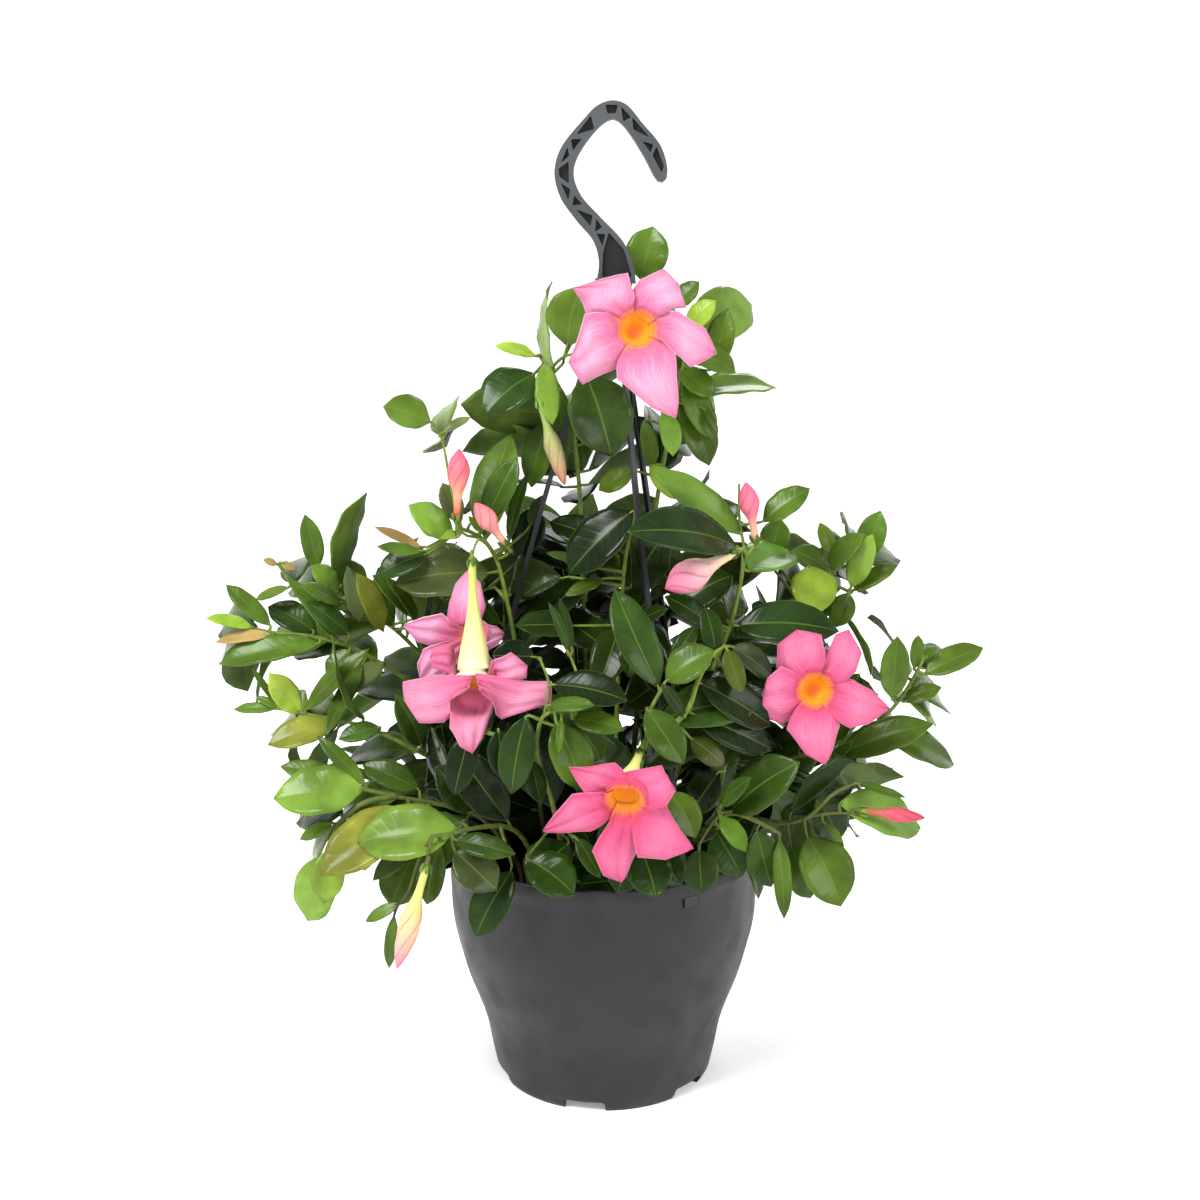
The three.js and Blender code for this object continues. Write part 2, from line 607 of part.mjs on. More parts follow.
const COLOURS = {
  plastic: { color: 0x4b4c4e, roughness: 0.55, metalness: 0 },
  soil: { color: 0x2a1c12, roughness: 0.95, metalness: 0 },
  leaf: { color: 0x2f6a1c, roughness: 0.35, metalness: 0 },
  petal: { color: 0xf47fb4, roughness: 0.6, metalness: 0 },
};

// ---- building blocks ----

function material(name) {
  return new THREE.MeshStandardMaterial(COLOURS[name]);
}

function solid(geometry) {
  const bare = geometry.clone();
  bare.deleteAttribute("normal");
  bare.deleteAttribute("uv");
  const closed = mergeVertices(bare, 1e-4);
  return new Manifold(new Mesh({
    numProp: 3,
    vertProperties: new Float32Array(closed.attributes.position.array),
    triVerts: new Uint32Array(closed.index.array),
  }));
}

function meshOf(name, body, look) {
  const { vertProperties, triVerts } = body.getMesh();
  const geometry = new THREE.BufferGeometry();
  geometry.setAttribute("position", new THREE.BufferAttribute(new Float32Array(vertProperties), 3));
  geometry.setIndex(new THREE.BufferAttribute(new Uint32Array(triVerts), 1));
  const mesh = new THREE.Mesh(geometry, material(look));
  mesh.name = name;
  return mesh;
}

// faces with the vertices at the ends of their shortest edges made one, where the skin stays closed
function weldedFaces(faces, corners) {
  const neighbours = corners.map(() => new Set());
  for (const face of faces) {
    face.forEach((a) => face.forEach((b) => a !== b && neighbours[a].add(b)));
  }
  const target = corners.map((_, k) => k);
  const busy = new Set();
  for (const [a, b] of faces.flatMap(([p, q, r]) => [[p, q], [q, r], [r, p]])) {
    const around = [...neighbours[a], ...neighbours[b]];
    const shared = [...neighbours[a]].filter((k) => neighbours[b].has(k));
    const isFree = shared.length === 2 && !around.some((k) => busy.has(k));
    if (a < b && isFree && corners[a].distanceTo(corners[b]) < HAIR) {
      target[b] = a;
      around.forEach((k) => busy.add(k));
    }
  }
  return faces.map((face) => face.map((k) => target[k])).filter((face) => new Set(face).size === 3);
}

// a body without edges shorter than a hair
function welded(body) {
  const { vertProperties, triVerts } = body.getMesh();
  const corners = Array.from({ length: vertProperties.length / 3 }, (_, k) => (
    new THREE.Vector3().fromArray(vertProperties, 3 * k)));
  let faces = Array.from({ length: triVerts.length / 3 }, (_, k) => [...triVerts.subarray(3 * k, 3 * k + 3)]);
  let before = Infinity;
  while (faces.length < before) {
    before = faces.length;
    faces = weldedFaces(faces, corners);
  }
  const used = [...new Set(faces.flat())];
  const places = new Map(used.map((k, place) => [k, place]));
  return new Manifold(new Mesh({
    numProp: 3,
    vertProperties: new Float32Array(used.flatMap((k) => corners[k].toArray())),
    triVerts: new Uint32Array(faces.flat().map((k) => places.get(k))),
  }));
}

function largestOf(body) {
  return body.decompose().reduce((largest, piece) => (piece.volume() > largest.volume() ? piece : largest));
}

// one body out of several: loose scraps are dropped
function joined(bodies) {
  return largestOf(welded(largestOf(Manifold.union(bodies))));
}

function indexed(points, faces) {
  const geometry = new THREE.BufferGeometry();
  geometry.setAttribute("position", new THREE.Float32BufferAttribute(points.flatMap((p) => p.toArray()), 3));
  geometry.setIndex(faces.flat());
  return geometry;
}

function box(width, depth, height, x, y, z, turn = 0) {
  const geometry = new THREE.BoxGeometry(width, depth, height);
  geometry.translate(x, y, z);
  geometry.rotateZ(turn * TURN);
  return solid(geometry);
}

function drum(radius, bottom, top, sides, x, y) {
  const geometry = new THREE.CylinderGeometry(radius, radius, top - bottom, sides);
  geometry.rotateX(Math.PI / 2);
  geometry.translate(x, y, (bottom + top) / 2);
  return solid(geometry);
}

function lathe(profile) {
  const geometry = new THREE.LatheGeometry(profile.map(([r, z]) => new THREE.Vector2(r, z)), POT.sides);
  geometry.rotateX(Math.PI / 2);
  return solid(geometry);
}

// a plate with the given edge, lying in the XZ plane between two depths
function plate(edge, front, back) {
  const shape = new THREE.Shape(edge.map(([x, z]) => new THREE.Vector2(x, z)));
  const geometry = new THREE.ExtrudeGeometry(shape, { depth: back - front, bevelEnabled: false });
  geometry.rotateX(Math.PI / 2);
  geometry.translate(0, back, 0);
  return solid(geometry);
}

function along(points, section, steps) {
  const path = new THREE.CatmullRomCurve3(points);
  return new THREE.ExtrudeGeometry(section, { steps, bevelEnabled: false, extrudePath: path });
}

function roundSection(radius, sides) {
  const centre = new THREE.Vector2();
  const corner = (k) => new THREE.Vector2(radius, 0).rotateAround(centre, (2 * Math.PI * k) / sides);
  return new THREE.Shape(Array.from({ length: sides }, (_, k) => corner(k)));
}

// ---- pot and soil ----

function makePot() {
  const { height, rim, band, foot, footRing, floor, floorThickness, notches, drains } = POT;
  const floorTop = floor + floorThickness;
  const profile = [
    [0, floor], [foot - footRing, floor], [foot - footRing, 0], [foot, 0],
    ...POT.outside,
    [rim, height - band + 1], [rim, height], [rim - 2.4, height],
    ...POT.inside,
    [POT.inside.at(-1)[0] - 1, floorTop], [0, floorTop],
  ];
  let pot = lathe(profile);
  for (let k = 0; k < notches.count; k += 1) {
    const turn = notches.first + (360 / notches.count) * k;
    pot = pot.subtract(box(notches.width, 14, 2 * notches.height, 0, -foot, 0, turn));
    const drainAngle = (turn - 90) * TURN;
    const drain = drum(drains.radius, floor - 1, floorTop + 1, 8, drains.at * Math.cos(drainAngle),
      drains.at * Math.sin(drainAngle));
    pot = pot.subtract(drain);
  }
  for (const { turn } of HANGER.legs) {
    const { width, bottom, top } = HANGER.barb;
    const slot = box(width + 2 * GAP, 14, top - bottom + 2 * GAP, 0, -rim, (top + bottom) / 2, turn);
    pot = pot.subtract(slot);
  }
  return pot;
}

function makeSoil() {
  const floorTop = POT.floor + POT.floorThickness;
  const side = POT.inside.filter(([, z]) => z < SOIL_TOP).map(([r, z]) => [r - GAP - 0.1, z]).reverse();
  const profile = [
    [0, floorTop + GAP], [side[0][0] - 1, floorTop + GAP], ...side,
    [side.at(-1)[0] + 1, SOIL_TOP], [0, SOIL_TOP],
  ];
  const hole = ({ root }) => drum(HOLE.radius, SOIL_TOP - HOLE.depth, SOIL_TOP + 1, HOLE.sides, ...root);
  return lathe(profile).subtract(Manifold.union(VINES.map(hole)));
}

// ---- hanger ----

function makeHook() {
  const half = HANGER.thickness / 2;
  let hook = plate([...HOOK_LEFT, ...HOOK_RIGHT], -half, half);
  for (const pocket of HOOK_POCKETS) {
    hook = hook.subtract(plate(pocket, -half - 1, -half + HANGER.pocketDepth));
    hook = hook.subtract(plate(pocket, half - HANGER.pocketDepth, half + 1));
  }
  return hook;
}

// the leg's channel section: its open side looks in, towards the pot's axis
function channelSection() {
  const { legWidth, legDepth, channel } = HANGER;
  const w = legWidth / 2;
  const d = legDepth / 2;
  const corners = [[-w, -d], [w, -d], [w, d], [w - channel, d], [w - channel, d - 1.4],
    [channel - w, d - 1.4], [channel - w, d], [-w, d]];
  return new THREE.Shape(corners.map(([x, y]) => new THREE.Vector2(x, y)));
}

function makeLeg({ turn, bow }) {
  const { hub, legFoot, barb } = HANGER;
  const outward = new THREE.Vector3(Math.sin(turn * TURN), -Math.cos(turn * TURN), 0);
  const foot = outward.multiplyScalar(legFoot.radius);
  const run = Math.hypot(foot.x - hub.x, foot.y);
  const heading = Math.atan2(foot.y, foot.x - hub.x);
  const start = new THREE.Vector3(4, 0, hub.bottom + 3);
  const end = new THREE.Vector3(run, 0, legFoot.bottom + 14);
  const middle = start.clone().lerp(end, 0.45).add(new THREE.Vector3(bow, 0, 0));
  const points = [start, middle, end, new THREE.Vector3(run, 0, legFoot.bottom)];
  const geometry = along(points, channelSection(), HANGER.legSteps);
  geometry.rotateZ(heading);
  geometry.translate(hub.x, 0, 0);
  const reach = barb.reach - legFoot.radius;
  const catchBarb = box(barb.width, reach, barb.top - barb.bottom, 0, -legFoot.radius - reach / 2,
    (barb.top + barb.bottom) / 2, turn);
  const backing = box(barb.width, 2, barb.top - barb.bottom + 3, 0, -legFoot.radius + 0.2,
    (barb.top + barb.bottom) / 2, turn);
  return [solid(geometry), catchBarb, backing];
}

function makeHanger() {
  const { hub } = HANGER;
  const bodies = [makeHook(), drum(hub.radius, hub.bottom, hub.top, 16, hub.x, 0)];
  return joined([...bodies, ...HANGER.legs.flatMap(makeLeg)]);
}

// ---- plant ----

function seen([x, height, depth]) {
  const reach = (depth - EYE.y) / -EYE.y;
  return new THREE.Vector3(EYE.x + (x - EYE.x) * reach, depth, EYE.z + (height - EYE.z) * reach);
}

// a closed skin over rows of corners [right, top, left, under], from a foot point or a flat end to the tip;
// a row without its top is flat above
function spearhead(rows, tip, foot) {
  const points = [...rows.flat(), tip, ...(foot ? [foot] : [])];
  const corners = rows[0].length;
  const tipIndex = corners * rows.length;
  const faces = foot ? [] : Array.from({ length: corners - 2 }, (_, k) => [0, k + 1, k + 2]);
  for (let side = 0; side < corners; side += 1) {
    const turn = (side + 1) % corners;
    if (foot) {
      faces.push([tipIndex + 1, side, turn]);
    }
    for (let row = 0; row < rows.length - 1; row += 1) {
      const here = corners * row + side;
      const next = corners * row + turn;
      if (side % 2) {
        faces.push([here, here + corners, next + corners], [here, next + corners, next]);
      } else {
        faces.push([here, here + corners, next], [here + corners, next + corners, next]);
      }
    }
    faces.push([tipIndex - corners + side, tipIndex, tipIndex - corners + turn]);
  }
  return solid(indexed(points, faces));
}

// a closed skin over rings of points, from a first centre to a last one
function ringSkin(first, rings, last) {
  const sides = rings[0].length;
  const points = [...rings.flat(), first, last];
  const firstIndex = points.length - 2;
  const lastIndex = points.length - 1;
  const faces = [];
  for (let k = 0; k < sides; k += 1) {
    const next = (k + 1) % sides;
    faces.push([firstIndex, next, k]);
    for (let ring = 0; ring < rings.length - 1; ring += 1) {
      const low = ring * sides;
      const high = low + sides;
      faces.push([low + k, low + next, high + k], [low + next, high + next, high + k]);
    }
    const top = (rings.length - 1) * sides;
    faces.push([lastIndex, top + k, top + next]);
  }
  return solid(indexed(points, faces));
}

function ring(centre, axis, radius, sides) {
  const flat = Math.abs(axis.z) < 0.9 ? new THREE.Vector3(0, 0, 1) : new THREE.Vector3(1, 0, 0);
  const across = flat.clone().cross(axis).normalize();
  const over = axis.clone().cross(across).normalize();
  return Array.from({ length: sides }, (_, k) => {
    const angle = (2 * Math.PI * k) / sides;
    const out = across.clone().multiplyScalar(Math.cos(angle)).addScaledVector(over, Math.sin(angle));
    return centre.clone().addScaledVector(out, radius);
  });
}

// the corners of a blade's or stalk's cross-section; the edges of a folded one stand up
function crossSection(middle, direction, facing, half, thickness, fold) {
  const top = facing.clone().addScaledVector(direction, -facing.dot(direction)).normalize();
  const right = direction.clone().cross(top);
  const corner = (across, rise) => middle.clone().addScaledVector(right, across).addScaledVector(top, rise);
  if (fold === null) {
    return [corner(half, 0), corner(-half, 0), corner(0, -thickness)];
  }
  return [corner(half, half * fold), corner(0, thickness * 0.3), corner(-half, half * fold),
    corner(0, -thickness * 0.7)];
}

// the blade's rows of corners; pad makes it larger, to test its clearance
function bladeRows({ base, tip, width, facing, folded, rows }, pad) {
  const length = tip.distanceTo(base);
  const axis = tip.clone().sub(base).divideScalar(length);
  const up = facing.clone().addScaledVector(axis, -facing.dot(axis)).normalize();
  return rows.map(([share, fullness]) => {
    const rise = 4 * BLADE.arch * length * share * (1 - share);
    const middle = base.clone().addScaledVector(axis, length * share).addScaledVector(up, rise + pad);
    const half = (width / 2) * fullness + pad;
    return crossSection(middle, axis, facing, half, BLADE.thickness + 2 * pad, folded ? BLADE.fold : null);
  });
}

function bladeBody(leaf) {
  return spearhead(bladeRows(leaf, 0), leaf.tip, leaf.base);
}

// a blade with its stalk: a short one narrows to a point in the stem, a long one is a rod of its own
function leafBody(leaf, pad = 0) {
  const { root, base, tip, facing, folded } = leaf;
  const rows = bladeRows(leaf, pad);
  const axis = tip.clone().sub(base).normalize();
  const stalk = base.clone().sub(root);
  const end = tip.clone().addScaledVector(axis, pad);
  if (stalk.length() < BLADE.stalk) {
    return spearhead(rows, end, root.clone().addScaledVector(lean(stalk, axis, 0.5), -0.8));
  }
  stalk.normalize();
  const half = BLADE.petiole + pad;
  const fold = folded ? 0 : null;
  const rod = (middle, direction) => crossSection(middle, direction, facing, half, 2 * half, fold);
  return spearhead([rod(root, stalk), rod(base, lean(stalk, axis, 0.5)), ...rows], end);
}

function spine(points, { step }) {
  const curve = new THREE.CatmullRomCurve3(points);
  return curve.getSpacedPoints(Math.ceil(curve.getLength() / step));
}

function tube(points, size) {
  return solid(along(points, roundSection(size.radius, size.sides), spine(points, size).length - 1));
}

function nearestOn(spines, point) {
  const spots = spines.flatMap((spots) => spots.slice(1)
    .map((spot, k) => new THREE.Line3(spots[k], spot).closestPointToPoint(point, true, new THREE.Vector3())));
  return spots.reduce((best, spot) => (spot.distanceTo(point) < best.distanceTo(point) ? spot : best));
}

// a vine's stems and twigs: the first comes out of the soil, the others start on those before them
function growStems(vine) {
  const [x, y] = vine.root;
  const inSoil = SOIL_LEVELS.map((level) => new THREE.Vector3(x, y, SOIL_TOP + level));
  const spines = [];
  const bodies = [];
  const grow = (size) => (drawn) => {
    const points = drawn.map(seen);
    points.unshift(...(spines.length ? [nearestOn(spines, points.shift())] : inSoil));
    spines.push(spine(points, size));
    bodies.push(tube(points, size));
  };
  vine.stems.forEach(grow(STEM));
  vine.twigs.forEach(grow(TWIG));
  return { spines, bodies };
}

function makeRandom(seed) {
  let state = seed;
  return () => {
    state = (state * 16807) % 2147483647;
    return state / 2147483647;
  };
}

// drawn leaves look up and towards the eye
function drawnLeaves(vine) {
  return vine.leaves.map(([tx, th, td, bx, bh, bd, width]) => {
    const base = seen([bx, bh, bd]);
    const root = nearestOn(vine.spines, base);
    const shape = BLADE_ROWS.find(({ upTo }) => width <= upTo);
    const facing = new THREE.Vector3(0, -0.7, 0.72);
    return { root, base, tip: seen([tx, th, td]), width, roll: 0, facing, ...shape };
  });
}

// filling leaves look up and outwards; in front they point away from the eye
function fillLeaves(vine, random) {
  const curve = new THREE.CatmullRomCurve3(vine.spines[0]);
  const spacing = vine.leaves.length ? FILL.spacing.drawn : FILL.spacing.bare;
  const joints = Math.floor((curve.getLength() * (1 - FILL.start)) / spacing);
  const leaves = [];
  for (let joint = 0; joint < joints; joint += 1) {
    const share = FILL.start + ((1 - FILL.start) * (joint + 0.5)) / joints;
    const root = curve.getPointAt(share);
    const forward = curve.getTangentAt(share);
    const outward = new THREE.Vector3(root.x, root.y, 0).normalize();
    const across = forward.clone().cross(new THREE.Vector3(0, 0, 1)).normalize();
    const firstTurn = (joint % 2) * 90 + FILL.turn * random();
    for (const half of [0, 180]) {
      const length = THREE.MathUtils.lerp(...FILL.length, random());
      const out = across.clone().applyAxisAngle(forward, (firstTurn + half) * TURN);
      const heading = forward.clone().multiplyScalar(Math.cos(FILL.spread * TURN))
        .addScaledVector(out, Math.sin(FILL.spread * TURN));
      heading.z -= FILL.droop * random();
      heading.normalize();
      const base = root.clone().addScaledVector(heading, FILL.stalk);
      const tip = base.clone().addScaledVector(heading, length);
      const facing = outward.clone().multiplyScalar(FILL.facing.out);
      facing.z = FILL.facing.up;
      const roll = FILL.roll * (2 * random() - 1);
      if (!vine.leaves.length || tip.y > root.y + 4) {
        leaves.push({ root, base, tip, width: length * FILL.slender, roll, facing, ...FILL.shape });
      }
    }
  }
  return leaves;
}

function swung(leaf, [depth, roll]) {
  const tip = leaf.tip.clone().add(new THREE.Vector3(0, depth, 0));
  const axis = tip.clone().sub(leaf.base).normalize();
  const up = leaf.facing.clone().addScaledVector(axis, -leaf.facing.dot(axis)).normalize();
  return { ...leaf, tip, facing: up.applyAxisAngle(axis, (leaf.roll + roll) * TURN) };
}

// ---- blooms and buds ----

function lean(from, to, share) {
  return from.clone().lerp(to, share).normalize();
}

function funnel({ calyx, throat, radius, facing }) {
  const start = seen(calyx);
  const mouth = seen(throat);
  const face = new THREE.Vector3(...facing).normalize();
  const direction = mouth.clone().sub(start).normalize();
  start.addScaledVector(direction, GAP);
  const hoop = ([share, r]) => {
    const axis = lean(direction, face, share ** 2);
    return ring(start.clone().lerp(mouth, share), axis, r, FUNNEL.sides);
  };
  const rings = [...FUNNEL.outside, [1, radius], [1, radius - FUNNEL.wall], FUNNEL.inside].map(hoop);
  return ringSkin(start, rings, start.clone().lerp(mouth, FUNNEL.bottom));
}

function petal({ throat, radius, facing }, { reach, edge }) {
  const mouth = seen(throat);
  const face = new THREE.Vector3(...facing).normalize();
  const [x0, h0, depth] = throat;
  const farthest = Math.max(...edge.map(([x, h]) => Math.hypot(x - x0, h - h0)));
  const place = ([x, h, ahead = 0], twist) => {
    const share = Math.max(0, Math.hypot(x - x0, h - h0) - radius) / (farthest - radius);
    return seen([x, h, depth + ahead + reach * share + twist * Math.min(1, 2 * share)]);
  };
  let left = edge.slice(0, 3).map((p) => place(p, PETAL.twist));
  let right = edge.slice(4).reverse().map((p) => place(p, -PETAL.twist));
  const tip = place(edge[3], 0);
  const foot = (p) => {
    const out = p.clone().sub(mouth).projectOnPlane(face).setLength(radius * PETAL.foot.share);
    return mouth.clone().add(out).addScaledVector(face, -PETAL.foot.under);
  };
  left.unshift(foot(left[0]));
  right.unshift(foot(right[0]));
  for (const k of [0, 1]) {
    const slim = right[k].clone().sub(left[k]).multiplyScalar(PETAL.slim);
    left[k].add(slim);
    right[k].sub(slim);
  }
  const outward = tip.clone().sub(left[0].clone().lerp(right[0], 0.5));
  const normal = right[2].clone().sub(left[2]).cross(outward).normalize();
  if (normal.dot(mouth.clone().sub(EYE)) > 0) {
    normal.negate();
  }
  if (right[2].clone().sub(left[2]).dot(outward.cross(normal)) < 0) {
    [left, right] = [right, left];
  }
  const rows = left.map((l, k) => {
    const r = right[k];
    const middle = l.clone().lerp(r, 0.5).addScaledVector(normal, -PETAL.bow * l.distanceTo(r));
    const ridge = middle.clone().addScaledVector(normal, PETAL.above);
    return [r, ridge, l, middle.addScaledVector(normal, -PETAL.under)];
  });
  return spearhead(rows, tip);
}

function makeBloom(bloom) {
  return joined([funnel(bloom), ...bloom.petals.map((shape) => petal(bloom, shape))]);
}

function makeBud({ base, tip, radius, fullest }) {
  const start = seen(base);
  const end = seen(tip);
  const axis = end.clone().sub(start).normalize();
  start.addScaledVector(axis, GAP);
  const hoop = (share, r) => ring(start.clone().lerp(end, share), axis, r, 6);
  const neck = fullest * 0.55;
  const rings = [hoop(0, 1.5), hoop(neck, Math.max(2, radius * 0.42)), hoop(fullest, radius),
    hoop((fullest + 1) / 2, radius * 0.82), hoop(0.93, radius * 0.35)];
  return ringSkin(start, rings, end);
}

// the green cup that a bloom or bud sits on, with its stalk from the nearest point of the vine
function cupBodies(from, to, spines) {
  const front = seen(from);
  const axis = seen(to).sub(front).normalize();
  const back = front.clone().addScaledVector(axis, -CUP.length);
  const rings = [ring(back, axis, TWIG.radius, CUP.sides), ring(front, axis, CUP.radius, CUP.sides)];
  const cup = ringSkin(back, rings, front);
  const inside = back.clone().addScaledVector(axis, CUP.length / 2);
  const root = nearestOn(spines, back);
  return root.distanceTo(inside) > 2 ? [cup, tube([root, inside], TWIG)] : [cup];
}

// ---- assembly ----

const placed = [];

function place(node, body) {
  const { min, max } = body.boundingBox();
  const bounds = new THREE.Box3(new THREE.Vector3(...min), new THREE.Vector3(...max));
  placed.push({ node, body, bounds });
}

function isClear(body, test) {
  const { min, max } = body.boundingBox();
  const bounds = new THREE.Box3(new THREE.Vector3(...min), new THREE.Vector3(...max));
  return placed.every((other) => !test(other.node) || !other.bounds.intersectsBox(bounds)
    || other.body.intersect(body).isEmpty());
}

// a leaf keeps clear of every other node, and its blade of its own vine where it can
function settleLeaf(vine, leaf) {
  const choices = SWINGS.map((swing) => swung(leaf, swing))
    .filter(({ tip }) => tip.y < DEEPEST)
    .filter((choice) => isClear(leafBody(choice, CLEARANCE), (node) => node.vine !== vine.name));
  const free = choices.find((choice) => isClear(bladeBody(choice), (node) => node.vine === vine.name));
  return free ?? choices[0];
}

function growLeaves(vine, leaves) {
  for (const leaf of leaves) {
    const settled = settleLeaf(vine, leaf);
    if (settled) {
      const body = leafBody(settled);
      place({ vine: vine.name, leaf: true }, body);
      vine.bodies.push(body);
    }
  }
}

const group = new THREE.Group();

function addNode(name, body, look) {
  place({ name }, body);
  group.add(meshOf(name, body, look));
}

addNode("pot", makePot(), "plastic");
addNode("soil", makeSoil(), "soil");
addNode("hanger", makeHanger(), "plastic");
for (const bloom of BLOOMS) {
  addNode(bloom.name, makeBloom(bloom), "petal");
}
for (const bud of BUDS) {
  addNode(bud.name, makeBud(bud), "petal");
}

const vines = VINES.map((vine) => {
  const { spines, bodies } = growStems(vine);
  const cups = [...BLOOMS, ...BUDS].filter((flower) => flower.vine === vine.name)
    .flatMap(({ calyx, base, throat, tip }) => cupBodies(calyx ?? base, throat ?? tip, spines));
  return { ...vine, spines, bodies: [...bodies, ...cups] };
});
for (const { name, bodies } of vines) {
  place({ vine: name }, Manifold.union(bodies));
}
for (const vine of vines) {
  growLeaves(vine, drawnLeaves(vine));
}
const random = makeRandom(FILL.seed);
for (const vine of vines) {
  growLeaves(vine, fillLeaves(vine, random));
}
for (const { name, bodies } of vines) {
  group.add(meshOf(name, joined(bodies), "leaf"));
}

export default group;
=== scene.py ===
# Looks for a flowering mandevilla in a hanging pot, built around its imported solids.
# Sizes are millimetres until a piece is finished. A point of the plant is drawn as x, height and depth,
# the first two as they look from the eye in front of the pot.
import bisect
import math
import random

import bmesh
import bpy
import numpy as np
from mathutils import Matrix, Vector, kdtree


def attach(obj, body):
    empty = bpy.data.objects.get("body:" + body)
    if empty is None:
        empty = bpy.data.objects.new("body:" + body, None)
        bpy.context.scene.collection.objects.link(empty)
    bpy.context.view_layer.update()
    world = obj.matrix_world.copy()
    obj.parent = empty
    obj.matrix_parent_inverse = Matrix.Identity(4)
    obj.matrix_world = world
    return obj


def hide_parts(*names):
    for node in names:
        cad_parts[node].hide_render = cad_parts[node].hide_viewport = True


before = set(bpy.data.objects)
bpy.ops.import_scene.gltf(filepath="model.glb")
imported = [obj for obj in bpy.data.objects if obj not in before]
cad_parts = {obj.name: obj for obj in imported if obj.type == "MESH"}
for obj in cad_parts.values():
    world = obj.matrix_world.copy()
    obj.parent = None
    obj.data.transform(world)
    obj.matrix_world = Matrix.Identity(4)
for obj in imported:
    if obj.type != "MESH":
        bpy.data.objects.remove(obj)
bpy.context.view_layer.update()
scene = bpy.context.scene
print("frame loaded:", len(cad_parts), "nodes")

mm = 0.001
turn = math.pi / 180
eye = np.array((-2.2, -840.0, 440.0))
up = np.array((0.0, 0.0, 1.0))

